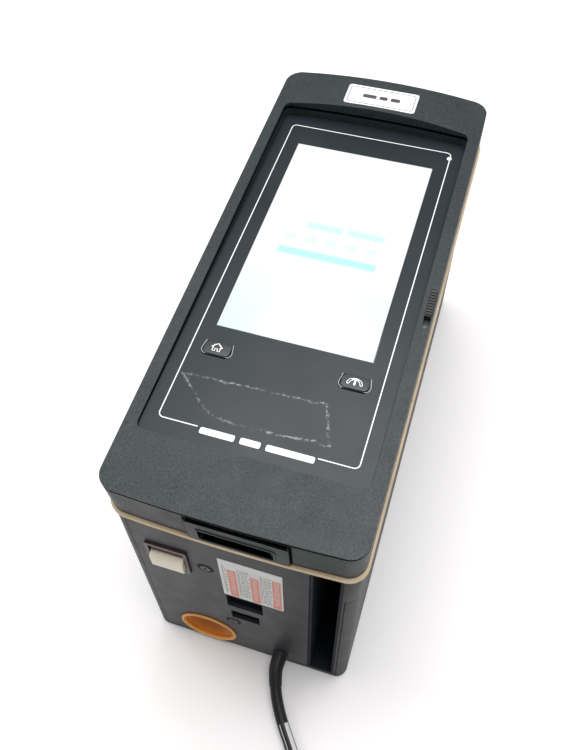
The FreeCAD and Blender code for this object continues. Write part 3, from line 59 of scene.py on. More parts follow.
camera_data = bpy.data.cameras.new("camera")
camera_data.sensor_width = 36
camera_data.lens = 36.48
camera = bpy.data.objects.new("camera", camera_data)
scene.collection.objects.link(camera)
camera_place = Vector((0.09513, -0.32182, 0.65655))
view_right = Vector((0.9536, 0.2991, -0.0344)).normalized()
view_back = -Vector((-0.1837, 0.4871, -0.8538)).normalized()
view_up = view_back.cross(view_right).normalized()
turned = Matrix((view_right, view_up, view_back)).transposed().to_4x4()
camera.matrix_world = Matrix.Translation(camera_place) @ turned
scene.camera = camera

# ---------------------------------------------------------------------------------------------
# Node materials


class Finish:
    """A node material built step by step on one principled shader."""

    def __init__(self, name, color, rough=0.5, **sockets):
        self.material = bpy.data.materials.new(name)
        self.material.use_nodes = True
        self.tree = self.material.node_tree
        self.shader = self.tree.nodes["Principled BSDF"]
        self.put(self.shader, "Base Color", color)
        self.put(self.shader, "Roughness", rough)
        for socket, amount in sockets.items():
            self.put(self.shader, socket.replace("_", " "), amount)
        self.place = self.node("ShaderNodeTexCoord").outputs["Object"]
        self.color = color

    def node(self, kind, **inputs):
        made = self.tree.nodes.new(kind)
        for socket, amount in inputs.items():
            self.put(made, socket.replace("_", " "), amount)
        return made

    def put(self, node, socket, amount):
        """Set a socket to a number or colour, or link it to another node's output."""
        target = node.inputs[socket]
        if isinstance(amount, bpy.types.NodeSocket):
            self.tree.links.new(amount, target)
        elif isinstance(amount, (tuple, list)) and target.type == "RGBA":
            target.default_value = (*amount[:3], 1)
        else:
            target.default_value = amount

    def stretched(self, scale, turn=(0, 0, 0)):
        mapping = self.node("ShaderNodeMapping", Vector=self.place)
        mapping.inputs["Scale"].default_value = scale
        mapping.inputs["Rotation"].default_value = turn
        return mapping.outputs[0]

    def noise(self, scale, detail=3, vector=None, rough=0.5):
        made = self.node("ShaderNodeTexNoise", Vector=vector or self.place, Scale=scale, Detail=detail,
                         Roughness=rough)
        return made.outputs["Fac"]

    def cells(self, scale):
        return self.node("ShaderNodeTexVoronoi", Vector=self.place, Scale=scale).outputs["Distance"]

    def spread(self, amount, low, high, to_low=0.0, to_high=1.0):
        made = self.node("ShaderNodeMapRange", Value=amount)
        for socket, number in zip((1, 2, 3, 4), (low, high, to_low, to_high)):
            made.inputs[socket].default_value = number
        return made.outputs[0]

    def math(self, kind, first, second=0.0, third=0.0):
        made = self.node("ShaderNodeMath")
        made.operation = kind
        for socket, amount in enumerate((first, second, third)):
            self.put(made, socket, amount)
        return made.outputs[0]

    def times(self, first, second):
        return self.math("MULTIPLY", first, second)

    def larger(self, first, second):
        return self.math("MAXIMUM", first, second)

    def mix(self, amount, first, second):
        made = self.tree.nodes.new("ShaderNodeMix")
        made.data_type = "RGBA"
        self.put(made, 0, amount)
        self.put(made, 6, first)
        self.put(made, 7, second)
        return made.outputs[2]

    def axis(self, letter):
        return self.node("ShaderNodeSeparateXYZ", Vector=self.place).outputs[letter]

    def band(self, amount, low, high, soft=0.0002):
        """One between low and high, nought outside."""
        up = self.spread(amount, low - soft, low + soft)
        down = self.spread(amount, high - soft, high + soft, 1, 0)
        return self.times(up, down)

    def tint(self, amount, color):
        """Blend the colour so far towards another by an amount."""
        self.color = self.mix(amount, self.color, color)
        self.put(self.shader, "Base Color", self.color)

    def roughen(self, amount, low, high):
        """Let the roughness follow an amount from low to high."""
        self.put(self.shader, "Roughness", self.spread(amount, 0, 1, low, high))

    def bump(self, height, strength=0.3, depth=0.0002):
        made = self.node("ShaderNodeBump", Height=height, Strength=strength, Distance=depth)
        if self.shader.inputs["Normal"].is_linked:
            self.put(made, "Normal", self.shader.inputs["Normal"].links[0].from_socket)
        self.put(self.shader, "Normal", made.outputs[0])


def moulded(name, color, rough=0.5, grain=1800.0, strength=0.25, dust=0.12, **sockets):
    """Moulded or textured plastic: fine grain, cloudy tone, faint dust and hairline scratches."""
    made = Finish(name, color, rough, **sockets)
    cloud = made.spread(made.noise(22, 4), 0.35, 0.7)
    light = tuple(min(1, c * 1.35 + 0.012) for c in color)
    made.tint(made.times(cloud, 0.55), light)
    specks = made.spread(made.noise(950, 2), 0.66, 0.74)
    made.tint(made.times(specks, dust), (0.55, 0.54, 0.52))
    made.roughen(made.noise(60, 5), max(0.05, rough - 0.1), min(1, rough + 0.12))
    made.bump(made.cells(grain), strength, 0.00008)
    scratch = made.spread(made.noise(90, 2, made.stretched((1, 14, 1), (0.1, 0.2, 0.5))), 0.72, 0.76)
    made.bump(made.times(scratch, -1), 0.08, 0.00005)
    return made


def metal(name, color, rough=0.35, brushed=(1, 60, 60), strength=0.12):
    """Brushed or plated metal with drawn grain and slight staining."""
    made = Finish(name, color, rough, Metallic=1.0)
    lines = made.noise(40, 6, made.stretched(brushed))
    made.tint(made.spread(made.noise(18, 4), 0.4, 0.75, 0, 0.35), tuple(c * 0.7 for c in color))
    made.roughen(lines, max(0.08, rough - 0.12), rough + 0.18)
    made.bump(lines, strength, 0.00005)
    return made


# Where painted shade darkens the front frame, in metres: the groove round it, the finger well, the gap round
# the latch
GROOVE_UP = (0.2452, 0.24735)
WELL_ACROSS, WELL_ALONG, WELL_UP = (-0.030, 0.045), (-0.1914, -0.175), (0.205, 0.2347)
GAP_LEFT, GAP_RIGHT = (-0.0270, -0.0258), (0.0386, 0.0398)
GAP_SIDES_UP, GAP_TOP_UP, LATCH_BEHIND = (0.2125, 0.2445), (0.2416, 0.2446), -0.190
SCUFF_ACROSS, SCUFF_ALONG = (0.0772, 0.0812), (-0.0300, -0.0255)


def bezel_finish():
    """Textured paint with a coarse mottle and one scuff, and painted shade in black in the groove, gap and
    finger well.
    """
    made = moulded("bezel_paint", (0.0115, 0.0165, 0.0185), 0.5, 1500, 0.6, 0.0, Specular_IOR_Level=0.32)
    made.tint(made.spread(made.noise(1150, 3), 0.44, 0.60, 0, 0.8), (0.034, 0.046, 0.046))
    made.tint(made.spread(made.noise(800, 2), 0.58, 0.68, 0, 0.7), (0.004, 0.006, 0.007))
    across, along, up = (made.axis(letter) for letter in "XYZ")
    scuff = made.times(made.band(across, *SCUFF_ACROSS, 0.0008), made.band(along, *SCUFF_ALONG, 0.0012))
    worn = made.times(scuff, made.spread(made.noise(900, 4), 0.42, 0.56))
    made.tint(made.times(worn, 0.7), (0.22, 0.23, 0.23))
    groove = made.band(up, *GROOVE_UP, 0.00003)
    well = made.times(made.band(across, *WELL_ACROSS), made.band(along, *WELL_ALONG))
    well = made.times(well, made.band(up, *WELL_UP))
    face = made.math("LESS_THAN", along, LATCH_BEHIND)
    sides = made.larger(made.band(across, *GAP_LEFT), made.band(across, *GAP_RIGHT))
    sides = made.times(sides, made.band(up, *GAP_SIDES_UP))
    top = made.times(made.band(up, *GAP_TOP_UP), made.band(across, GAP_LEFT[0], GAP_RIGHT[1]))
    gap = made.times(made.larger(sides, top), face)
    # Painted shade: the groove, finger well and latch gap turned near black, with less shine
    painted_shade = made.larger(made.larger(groove, well), gap)
    made.tint(made.times(painted_shade, 0.97), SHADOW)
    made.put(made.shader, "Specular IOR Level", made.spread(painted_shade, 0, 1, 0.32, 0.02))
    return made


# The side cover's edges, in metres
COVER_LEFT, COVER_TOP, COVER_FAR = 0.0727, 0.1720, -0.042


def housing_finish():
    """Textured paint, with painted shade as a black line along the seam of the side cover."""
    made = moulded("housing_coat", (0.0145, 0.0175, 0.022), 0.52, 1300, 0.45, 0.0, Specular_IOR_Level=0.35)
    across, along, up = (made.axis(letter) for letter in "XYZ")
    beside = made.times(made.band(across, COVER_LEFT, 0.0738), made.band(up, 0.006, COVER_TOP))
    over = made.times(made.band(up, 0.1709, COVER_TOP), made.band(across, COVER_LEFT, 0.09))
    seam_shade = made.times(made.larger(beside, over), made.math("LESS_THAN", along, COVER_FAR))
    # Painted shade in the gap along the side cover's seam
    made.tint(made.times(seam_shade, 0.95), SHADOW)
    return made


bezel = bezel_finish()
housing_coat = housing_finish()
panel_coat = moulded("panel_coat", (0.0105, 0.013, 0.0175), 0.45, 1900, 0.3, 0.03, Specular_IOR_Level=0.38)
black_plastic = moulded("black_plastic", (0.012, 0.012, 0.013), 0.4, 2200, 0.2, 0.08)
dark_plastic = moulded("dark_plastic", (0.022, 0.022, 0.024), 0.55, 1700, 0.35, 0.1)
channel_black = moulded("channel_black", (0.006, 0.009, 0.015), 0.65, 1500, 0.3, 0.0, Specular_IOR_Level=0.15)
key_top = moulded("key_top", (0.02, 0.022, 0.024), 0.42, 2600, 0.15, 0.06)
switch_red = moulded("switch_red", (0.040, 0.010, 0.011), 0.35, 2400, 0.12, 0.0)
rocker_cream = moulded("rocker_cream", (0.70, 0.65, 0.53), 0.36, 2400, 0.1, 0.02)
steel = metal("zinc_steel", (0.55, 0.56, 0.58), 0.34)
dark_steel = metal("dark_steel", (0.10, 0.10, 0.105), 0.45, (30, 30, 30), 0.06)
bright_steel = metal("bright_steel", (0.62, 0.63, 0.65), 0.22, (30, 30, 30), 0.06)
aluminium = metal("extruded_aluminium", (0.66, 0.67, 0.68), 0.32, (60, 1, 60))
brass = metal("turned_brass", (0.62, 0.45, 0.18), 0.28, (20, 20, 20), 0.08)
gold = metal("plated_contact", (0.78, 0.56, 0.22), 0.2, (20, 20, 20), 0.05)


def white_print(name, color):
    made = Finish(name, color, 0.45)
    made.tint(made.spread(made.noise(700, 2), 0.55, 0.75, 0, 0.3), tuple(c * 0.7 for c in color))
    made.bump(made.noise(1500, 2), 0.1, 0.00003)
    return made


print_white = white_print("print_white", (0.78, 0.79, 0.79))
print_dim = white_print("print_dim", (0.34, 0.36, 0.37))
print_grey = white_print("print_grey", (0.05, 0.05, 0.055))


def board_finish():
    """Solder mask over copper tracks, seen as slightly lighter straight runs."""
    made = Finish("solder_mask", (0.006, 0.075, 0.032), 0.3, Coat_Weight=0.3)
    tracks = made.node("ShaderNodeTexBrick", Vector=made.stretched((60, 60, 60)), Scale=3.0)
    tracks.inputs["Mortar Size"].default_value = 0.045
    made.tint(made.times(tracks.outputs["Fac"], 0.75), (0.02, 0.17, 0.07))
    pads = made.spread(made.cells(230), 0.12, 0.16, 1, 0)
    made.tint(made.times(pads, 0.6), (0.55, 0.5, 0.35))
    made.roughen(made.noise(120, 4), 0.22, 0.42)
    made.bump(tracks.outputs["Fac"], 0.2, 0.0001)
    return made


solder_mask = board_finish()


def seal_finish():
    made = Finish("seal_rubber", (0.62, 0.47, 0.30), 0.75, Subsurface_Weight=0.05)
    made.tint(made.spread(made.noise(40, 4), 0.4, 0.7), (0.74, 0.60, 0.42))
    made.tint(made.spread(made.noise(260, 3), 0.62, 0.72, 0, 0.35), (0.30, 0.22, 0.14))
    made.roughen(made.noise(90, 3), 0.65, 0.85)
    made.bump(made.noise(900, 3), 0.35, 0.0001)
    return made


seal_rubber = seal_finish()


def cap_finish():
    """Moulded orange, with painted shade making it browner the deeper it lies behind the sloping connector
    end.
    """
    made = Finish("cap_orange", (0.80, 0.40, 0.10), 0.5)
    made.tint(made.spread(made.noise(35, 4), 0.42, 0.7), (0.84, 0.46, 0.14))
    slope = made.times(made.math("SUBTRACT", BOX_TOP * MM, made.axis("Z")), END_SLOPE)
    depth = made.math("ADD", made.math("ADD", made.axis("Y"), -BOX_END * MM), slope)
    # Painted shade: browner, then dark brown, the deeper the cup lies behind the end face
    made.tint(made.spread(depth, -0.0012, 0.0002, 0, 0.97), (0.66, 0.20, 0.004))
    made.tint(made.spread(depth, 0.001, 0.009, 0, 0.75), (0.36, 0.085, 0.001))
    made.roughen(made.noise(70, 4), 0.32, 0.52)
    made.bump(made.noise(1200, 3), 0.15, 0.00006)
    return made


cap_orange = cap_finish()

# ---------------------------------------------------------------------------------------------
# Shapes


def tint_slots(thing, finish):
    materials = thing.data.materials
    materials.clear()
    materials.append(finish.material)


def piece(name, mesh_data, finish, body, smooth=True, bevel=0.0, flat_angle=35):
    thing = bpy.data.objects.new(name, mesh_data)
    scene.collection.objects.link(thing)
    tint_slots(thing, finish)
    if bevel:
        modifier = thing.modifiers.new("edges", "BEVEL")
        modifier.width = bevel
        modifier.segments = 2
        modifier.limit_method = "ANGLE"
    if smooth:
        thing.data.shade_smooth()
        thing.data.set_sharp_from_angle(angle=math.radians(flat_angle))
    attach(thing, body)
    return thing


class Solid:
    """Collects prisms, frames, turned profiles and ribbons into one mesh, each point placed by a turn."""

    def __init__(self, turn=None):
        self.mesh = bmesh.new()
        self.turn = turn or (lambda point: Vector(point))

    def ring(self, points):
        return [self.mesh.verts.new(self.turn(point)) for point in points]

    def skin(self, rings, closed=True):
        """Faces between each ring and the next, all the way round or leaving the last side open."""
        for near, far in zip(rings, rings[1:]):
            for k in range(len(near) if closed else len(near) - 1):
                after = (k + 1) % len(near)
                self.mesh.faces.new((near[k], near[after], far[after], far[k]))

    def prism(self, outline, low, high):
        """A closed outline of (x, y) points raised from low to high."""
        rings = [self.ring((x, y, z) for x, y in outline) for z in (low, high)]
        self.mesh.faces.new(rings[1])
        self.mesh.faces.new(rings[0][::-1])
        self.skin(rings)

    def frame(self, outer, inner, low, high):
        """A closed band between two outlines with the same number of points."""
        rings = [self.ring((x, y, z) for x, y in outline)
                 for outline, z in ((outer, low), (outer, high), (inner, high), (inner, low))]
        self.skin(rings + rings[:1])

    def turned(self, profile, count=48, middle=(0, 0)):
        """A profile of (radius, height) points turned about the local upright axis; closes itself."""
        rings = []
        for k in range(count):
            angle = 2 * math.pi * k / count
            across, along = math.cos(angle), math.sin(angle)
            rings.append(self.ring((middle[0] + radius * across, middle[1] + radius * along, z)
                                   for radius, z in profile))
        self.skin(rings + rings[:1])

    def ribbon(self, points, width, low, high):
        """A flat line of print along (x, y) points."""
        half = width / 2
        sides = []
        count = len(points)
        for k, (x, y) in enumerate(points):
            before = points[k - 1] if k else points[k]
            after = points[k + 1] if k < count - 1 else points[k]
            along = Vector((after[0] - before[0], after[1] - before[1])).normalized()
            sides.append(((x - along.y * half, y + along.x * half), (x + along.y * half, y - along.x * half)))
        rows = [self.ring(((*left, low), (*left, high), (*right, high), (*right, low)))
                for left, right in sides]
        self.skin(rows)
        self.mesh.faces.new(rows[0][::-1])
        self.mesh.faces.new(rows[-1])

    def done(self, name):
        bmesh.ops.remove_doubles(self.mesh, verts=self.mesh.verts, dist=1e-7)
        bmesh.ops.recalc_face_normals(self.mesh, faces=self.mesh.faces)
        made = bpy.data.meshes.new(name)
        self.mesh.to_mesh(made)
        self.mesh.free()
        return made


def rounded(wide, tall, radius, middle=(0, 0), steps=6):
    """Corner-rounded rectangle, as (x, y) points."""
    points = []
    for sign_x, sign_y, start in ((1, 1, 0), (-1, 1, 90), (-1, -1, 180), (1, -1, 270)):
        for k in range(steps + 1):
            angle = math.radians(start + 90 * k / steps)
            points.append((middle[0] + sign_x * (wide / 2 - radius) + radius * math.cos(angle),
                           middle[1] + sign_y * (tall / 2 - radius) + radius * math.sin(angle)))
    return points


def block(low_x, high_x, low_y, high_y):
    return [(low_x, low_y), (high_x, low_y), (high_x, high_y), (low_x, high_y)]


PANEL_TILT = math.atan(PANEL_SLOPE)


def on_panel(point):
    """From (across, along, up) in millimetres on the sunken display panel to the row frame."""
    across, along, up = point
    return Vector((across, PANEL_NEAR + along * math.cos(PANEL_TILT) + up * math.sin(PANEL_TILT),
                   PANEL_TOP - along * math.sin(PANEL_TILT) + up * math.cos(PANEL_TILT))) * MM


END_TILT = math.atan(END_SLOPE)


def on_end(side, rise):
    """A turn that puts (across, up the face, out of it) millimetres on the sloping connector end."""
    def turn(point):
        across, up, out = point
        return Vector((side + across,
                       BOX_END - END_SLOPE * (BOX_TOP - rise)
                       + up * math.sin(END_TILT) - out * math.cos(END_TILT),
                       rise + up * math.cos(END_TILT) + out * math.sin(END_TILT))) * MM
    return turn


def plain(point):
    return Vector(point) * MM

# ---------------------------------------------------------------------------------------------
# Mains lead: one spline through its route, the put-away coil and the tail into the plug


LEAD_ROUTE = [(27, -222.2, 15), (30.4, -236, 11.5), (42, -256, 6), (57, -274.5, 4.7), (77, -304.2, 4.7),
              (92.3, -330.8, 4.7)]
TAIL_ROUTE = [(32.1, -400.6, 14.1), (10.4, -390.5, 13), (-12, -382, 13)]
COIL_MIDDLE = (52, -358)
CORD_RADIUS = 4.6
OUTER_TURN, INNER_TURN = 50.7, 41.4
LAYERS = [4.7, 14, 23.3, 32.6]
TURN_SLOTS = [(OUTER_TURN, LAYERS[0])] + [(INNER_TURN, height) for height in LAYERS]
TURN_SLOTS += [(OUTER_TURN, height) for height in LAYERS[:0:-1]]
STEP_FROM = 0.7
COIL_START, COIL_END = 26, -115 - 360 * 7
POINTS_PER_TURN = 24


def coil_points():
    """The turns in order: each slot is one turn, and the step between slots is spread over a part of it."""
    points = []
    count = round((COIL_START - COIL_END) / 360 * POINTS_PER_TURN)
    for k in range(count):
        turn = k / POINTS_PER_TURN
        slot = min(int(turn), len(TURN_SLOTS) - 1)
        after = min(slot + 1, len(TURN_SLOTS) - 1)
        step = max(0.0, (turn - slot - STEP_FROM) / (1 - STEP_FROM))
        step = step * step * (3 - 2 * step)
        radius = TURN_SLOTS[slot][0] * (1 - step) + TURN_SLOTS[after][0] * step
        height = TURN_SLOTS[slot][1] * (1 - step) + TURN_SLOTS[after][1] * step
        angle = math.radians(COIL_START - 360 * turn)
        points.append((COIL_MIDDLE[0] + radius * math.cos(angle),
                       COIL_MIDDLE[1] + radius * math.sin(angle), height))
    return points


cord_data = bpy.data.curves.new("mains_cord", "CURVE")
cord_data.dimensions = "3D"
cord_data.bevel_depth = CORD_RADIUS * MM
cord_data.bevel_resolution = 8
cord_data.use_fill_caps = True
spline = cord_data.splines.new("NURBS")
cord_points = LEAD_ROUTE[:-1] + coil_points() + TAIL_ROUTE[1:]
spline.points.add(len(cord_points) - 1)
for knot, (x, y, z) in zip(spline.points, cord_points):
    knot.co = (x * MM, y * MM, z * MM, 1)
spline.order_u = 3
spline.use_endpoint_u = True
spline.resolution_u = 6
cord = bpy.data.objects.new("mains_cord", cord_data)
scene.collection.objects.link(cord)


def cord_finish():
    made = Finish("cord_jacket", (0.005, 0.005, 0.006), 0.42, Specular_IOR_Level=0.35)
    made.tint(made.spread(made.noise(300, 3), 0.62, 0.75, 0, 0.12), (0.08, 0.08, 0.08))
    made.roughen(made.noise(140, 4), 0.36, 0.58)
    made.bump(made.noise(1600, 3), 0.12, 0.00006)
    return made


cord_jacket = cord_finish()
cord_data.materials.append(cord_jacket.material)
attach(cord, "box")
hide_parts("mains_lead", "lead_coil", "lead_tail")


def spline_line():
    """Points along the cord's own line, read from the curve without its thickness."""
    bare = cord_data.copy()
    bare.bevel_depth = 0
    holder = bpy.data.objects.new("bare_line", bare)
    line = bpy.data.meshes.new_from_object(holder)
    points = [v.co.copy() for v in line.vertices]
    bpy.data.objects.remove(holder)
    return points


def walk(line, place):
    """The point and heading at a distance along a line, in millimetres from its start."""
    left = place * MM
    for first, second in zip(line, line[1:]):
        step = (second - first).length
        if step >= left:
            return first.lerp(second, left / step), (second - first).normalized()
        left -= step
    return line[-1], (line[-1] - line[-2]).normalized()


def swept(name, stations, finish, span=(0, 360), count=28):
    """A skin through rings of (middle, heading, radius), all the way round or over a span of degrees."""
    solid = Solid()
    whole = span == (0, 360)
    rings = []
    for middle, heading, radius in stations:
        side = heading.cross(Vector((0, 0, 1))).normalized()
        up = side.cross(heading).normalized()
        points = []
        for k in range(count if whole else count + 1):
            angle = math.radians(span[0] + (span[1] - span[0]) * k / count)
            points.append(middle + (side * math.cos(angle) + up * math.sin(angle)) * radius * MM)
        rings.append(solid.ring(points))
    solid.skin(rings, whole)
    return piece(name, solid.done(name), finish, "box")


cord_line = spline_line()


def strip_finish():
    """Pale strip printed along the jacket: short dark dashes in rows stand for lettering."""
    made = Finish("strip_print", (0.66, 0.67, 0.68), 0.4)
    dashes = made.node("ShaderNodeTexBrick", Vector=made.stretched((300, 300, 300), (0, 0, 0.9)), Scale=1.7)
    dashes.inputs["Mortar Size"].default_value = 0.10
    letters = made.spread(made.noise(900, 1), 0.45, 0.55)
    inked = made.times(made.math("SUBTRACT", 1.0, dashes.outputs["Fac"]), letters)
    made.tint(made.times(inked, 0.8), (0.06, 0.06, 0.065))
    made.roughen(made.noise(200, 3), 0.35, 0.5)
    made.bump(made.noise(900, 2), 0.1, 0.00005)
    return made


def on_jacket(start, end, radius, steps=18):
    """Stations along the cord between two distances, all at one radius."""
    return [(*walk(cord_line, start + (end - start) * k / steps), radius) for k in range(steps + 1)]


strip_print = strip_finish()
strip_stations = on_jacket(41, 80, CORD_RADIUS + 0.05)
strip = swept("lead_strip", strip_stations, strip_print, (104, 150))
strip_line = swept("lead_strip_line", strip_stations, strip_print, (52, 60), 4)

# Strain relief: a smooth tapered boot that comes out of the panel and follows the lead's first bend
BOOT_STRAIGHT = [(-196, 6.5), (-210.7, 6.5), (-211.4, 6.3), (-211.7, 6.0), (-216, 5.8), (-222, 5.55)]
BOOT_BENT = [(1.5, 5.48), (4, 5.36), (7, 5.22), (10, 5.1), (12.6, 5.0), (13.2, 4.86), (13.3, 4.62)]
outward = Vector((0, -1, 0))
exit_x, _, exit_z = LEAD_ROUTE[0]
boot_rings = [(Vector((exit_x, y, exit_z)) * MM, outward, radius) for y, radius in BOOT_STRAIGHT]
boot_rings += [(*walk(cord_line, place), radius) for place, radius in BOOT_BENT]
boot = swept("relief_boot", boot_rings, cord_jacket, count=40)
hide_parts("strain_relief")

# ---------------------------------------------------------------------------------------------
# Display panel: film, glass, print, keys

GLUE_CORNERS = [(-58.5, 48.8), (37, 52.4), (46.6, 25.1), (-8.1, 22.5), (-28.3, 23.5), (-42.7, 33.6)]


def panel_film():
    """Satin film with a faint sheen, and the ragged ring of glue that a peeled label leaves."""
    made = Finish("panel_film", (0.010, 0.0155, 0.0195), 0.36, Specular_IOR_Level=0.28)
    made.tint(made.spread(made.noise(9, 4), 0.35, 0.7, 0, 0.4), (0.015, 0.022, 0.026))
    wobble = made.node("ShaderNodeTexNoise", Vector=made.place, Scale=110, Detail=4)
    shifted = made.node("ShaderNodeVectorMath", Vector=wobble.outputs["Color"])
    shifted.operation = "MULTIPLY_ADD"
    shifted.inputs[1].default_value = (0.006, 0.006, 0)
    made.put(shifted, 2, made.place)
    parts = made.node("ShaderNodeSeparateXYZ", Vector=shifted.outputs[0])
    across, along = parts.outputs["X"], parts.outputs["Y"]
    edge = None
    for (x, y), (next_x, next_y) in zip(GLUE_CORNERS, GLUE_CORNERS[1:] + GLUE_CORNERS[:1]):
        length = math.hypot(next_x - x, next_y - y)
        normal_x, normal_y = -(next_y - y) / length, (next_x - x) / length
        level = (normal_x * x + normal_y * (y + PANEL_NEAR)) * MM
        beyond = made.math("MULTIPLY_ADD", across, normal_x, -level)
        beyond = made.math("MULTIPLY_ADD", along, normal_y, beyond)
        edge = beyond if edge is None else made.larger(edge, beyond)
    ring = made.band(edge, -0.0009, 0.0003, 0.0005)
    ragged = made.spread(made.noise(420, 4, None, 0.7), 0.46, 0.6)
    faded = made.spread(made.noise(60, 2), 0.34, 0.5, 0.25, 1)
    glue = made.times(made.times(ring, ragged), faded)
    cloudy = made.spread(made.noise(60, 4), 0.4, 0.7, 0.05, 0.35)
    inside = made.times(made.spread(edge, -0.001, 0.0, 1, 0), cloudy)
    made.tint(made.times(inside, 0.35), (0.06, 0.065, 0.062))
    made.tint(made.times(glue, 0.75), (0.34, 0.36, 0.37))
    made.roughen(made.noise(30, 5), 0.26, 0.46)
    made.bump(glue, 0.3, 0.0001)
    made.bump(made.noise(2600, 2), 0.08, 0.00003)
    return made


def screen_finish():
    """Lit display in dark glass: a white page, pale cyan near its lower edge, with pale bars and squares."""
    made = Finish("lit_screen", (0.012, 0.014, 0.016), 0.12, Coat_Weight=0.5)
    parts = made.node("ShaderNodeSeparateXYZ", Vector=made.place)
    across, along = parts.outputs["X"], parts.outputs["Y"]
    low, high = PANEL_NEAR + 87.2, PANEL_NEAR + 271.7
    lit = made.times(made.band(across, -0.0533, 0.0533, 0.00025),
                    made.band(along, low * MM, high * MM, 0.00025))
    page = made.mix(made.spread(along, (low - 10) * MM, (low + 75) * MM), (0.74, 1.0, 0.98), (1.0, 1.0, 1.0))
    cloud = made.spread(made.noise(16, 2), 0.35, 0.65, 0, 0.35)
    page = made.mix(cloud, page, (0.93, 1.0, 0.98))

    def mark(x_low, x_high, y_low, y_high, color, amount):
        nonlocal page
        there = made.times(made.band(across, x_low * MM, x_high * MM, 0.0012),
                          made.band(along, (y_low + PANEL_NEAR) * MM, (y_high + PANEL_NEAR) * MM, 0.0012))
        page = made.mix(made.times(there, amount), page, color)

    mark(-35, 36, 160, 166.5, (0.42, 0.93, 0.90), 0.8)
    for k in range(5):
        mark(-34 + 15 * k, -26 + 15 * k, 174, 180, (0.68, 0.95, 0.93), 0.5)
    for k in range(2):
        mark(-22 + 31 * k, 5 + 31 * k, 187.5, 193.5, (0.55, 0.95, 0.92), 0.65)
    made.put(made.shader, "Emission Color", made.mix(lit, (0, 0, 0), page))
    made.put(made.shader, "Emission Strength", 1.02)
    made.tint(made.spread(made.noise(40, 3), 0.5, 0.8, 0, 0.2), (0.03, 0.034, 0.036))
    made.roughen(made.noise(14, 5), 0.08, 0.2)
    made.bump(made.noise(400, 3), 0.02, 0.00003)
    return made


tint_slots(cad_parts["front_panel"], panel_film())
tint_slots(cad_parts["touch_screen"], screen_finish())

# White outline, broken along the bottom by plain bars
OUTLINE_SIDE, OUTLINE_LOW, OUTLINE_HIGH, OUTLINE_ROUND, OUTLINE_WIDE = 64, 11.8, 292.3, 3.5, 0.7
PRINT = (0.02, 0.09)


def arc(middle, radius, start, end, steps=8):
    angles = [math.radians(start + (end - start) * k / steps) for k in range(steps + 1)]
    return [(middle[0] + radius * math.cos(angle), middle[1] + radius * math.sin(angle)) for angle in angles]


left, right = OUTLINE_ROUND - OUTLINE_SIDE, OUTLINE_SIDE - OUTLINE_ROUND
bottom, top = OUTLINE_LOW + OUTLINE_ROUND, OUTLINE_HIGH - OUTLINE_ROUND
outline = Solid(on_panel)
outline.ribbon([(-37.5, OUTLINE_LOW)] + arc((left, bottom), OUTLINE_ROUND, 270, 180)
               + arc((left, top), OUTLINE_ROUND, 180, 90) + arc((right, top), OUTLINE_ROUND, 90, 0)
               + arc((right, bottom), OUTLINE_ROUND, 0, -90) + [(39, OUTLINE_LOW)], OUTLINE_WIDE, *PRINT)
piece("panel_outline", outline.done("panel_outline"), print_white, "door", smooth=False)

bars = Solid(on_panel)
for low, high in ((-35.5, -13), (-9.5, 3.5), (7, 37.5)):
    bars.prism(rounded(high - low, 4.4, 1.2, ((low + high) / 2, 9.9)), *PRINT)
piece("panel_bars", bars.done("panel_bars"), print_white, "door", smooth=False)

for name, middle in KEY_MIDDLES.items():
    bracket = Solid(on_panel)
    bracket.ribbon([(middle - 9.2, 74.4)] + arc((middle - 6.6, 67.6), 3.8, 170, 250, 8)
                   + arc((middle + 6.6, 67.6), 3.8, 290, 370, 8) + [(middle + 9.2, 74.4)], 0.4, *PRINT)
    piece(f"{name}_bracket", bracket.done(f"{name}_bracket"), print_dim, "door", smooth=False)

KEY_WIDE, KEY_TALL, KEY_ALONG = 18.4, 10.6, 69.2
KEY_SKIRT = -0.6


def key_height(along):
    """The key's top stands proud at its near edge and meets the film at its far one."""
    return 0.75 - 0.075 * along


def key_turn(middle):
    """A turn for a key's points: those above its skirt follow the sloping top."""
    def turn(point):
        across, along, up = point
        proud = key_height(along) if up > KEY_SKIRT else 0
        return on_panel((middle + across, KEY_ALONG + along, up + proud))
    return turn


def key_mesh(name, middle):
    solid = Solid(key_turn(middle))
    rings = []
    for inset, drop in ((0, -2.2), (0, -0.55), (0.12, -0.25), (0.4, -0.08), (0.9, 0)):
        outline = rounded(KEY_WIDE - 2 * inset, KEY_TALL - 2 * inset, 3.4 - inset, (0, 0), 8)
        rings.append(solid.ring((x, y, drop) for x, y in outline))
    solid.skin(rings)
    solid.mesh.faces.new(rings[-1])
    solid.mesh.faces.new(rings[0][::-1])
    return solid.done(name)


for name, middle in KEY_MIDDLES.items():
    cap_mesh = key_mesh(f"{name}_key_cap", middle)
    key = piece(f"{name}_key_cap", cap_mesh, key_top, f"{name}_key", flat_angle=60)
    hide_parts(f"{name}_key")

# Icons: a house on one key, a dial with its needle on the other
ICON = (0.02, 0.1)
house = Solid(key_turn(-46.4))
house.ribbon([(-3.7, 0.3), (-2.4, 1.5), (-2.4, 2.4), (-1.6, 2.4), (0, 3.7), (3.7, 0.3)], 0.75, *ICON)
house.ribbon([(-2.5, 0.7), (-2.5, -2.6), (-0.9, -2.6), (-0.9, -0.7),
              (0.9, -0.7), (0.9, -2.6), (2.5, -2.6), (2.5, 0.7)], 0.65, *ICON)
piece("home_icon", house.done("home_icon"), print_white, "home_key", smooth=False)

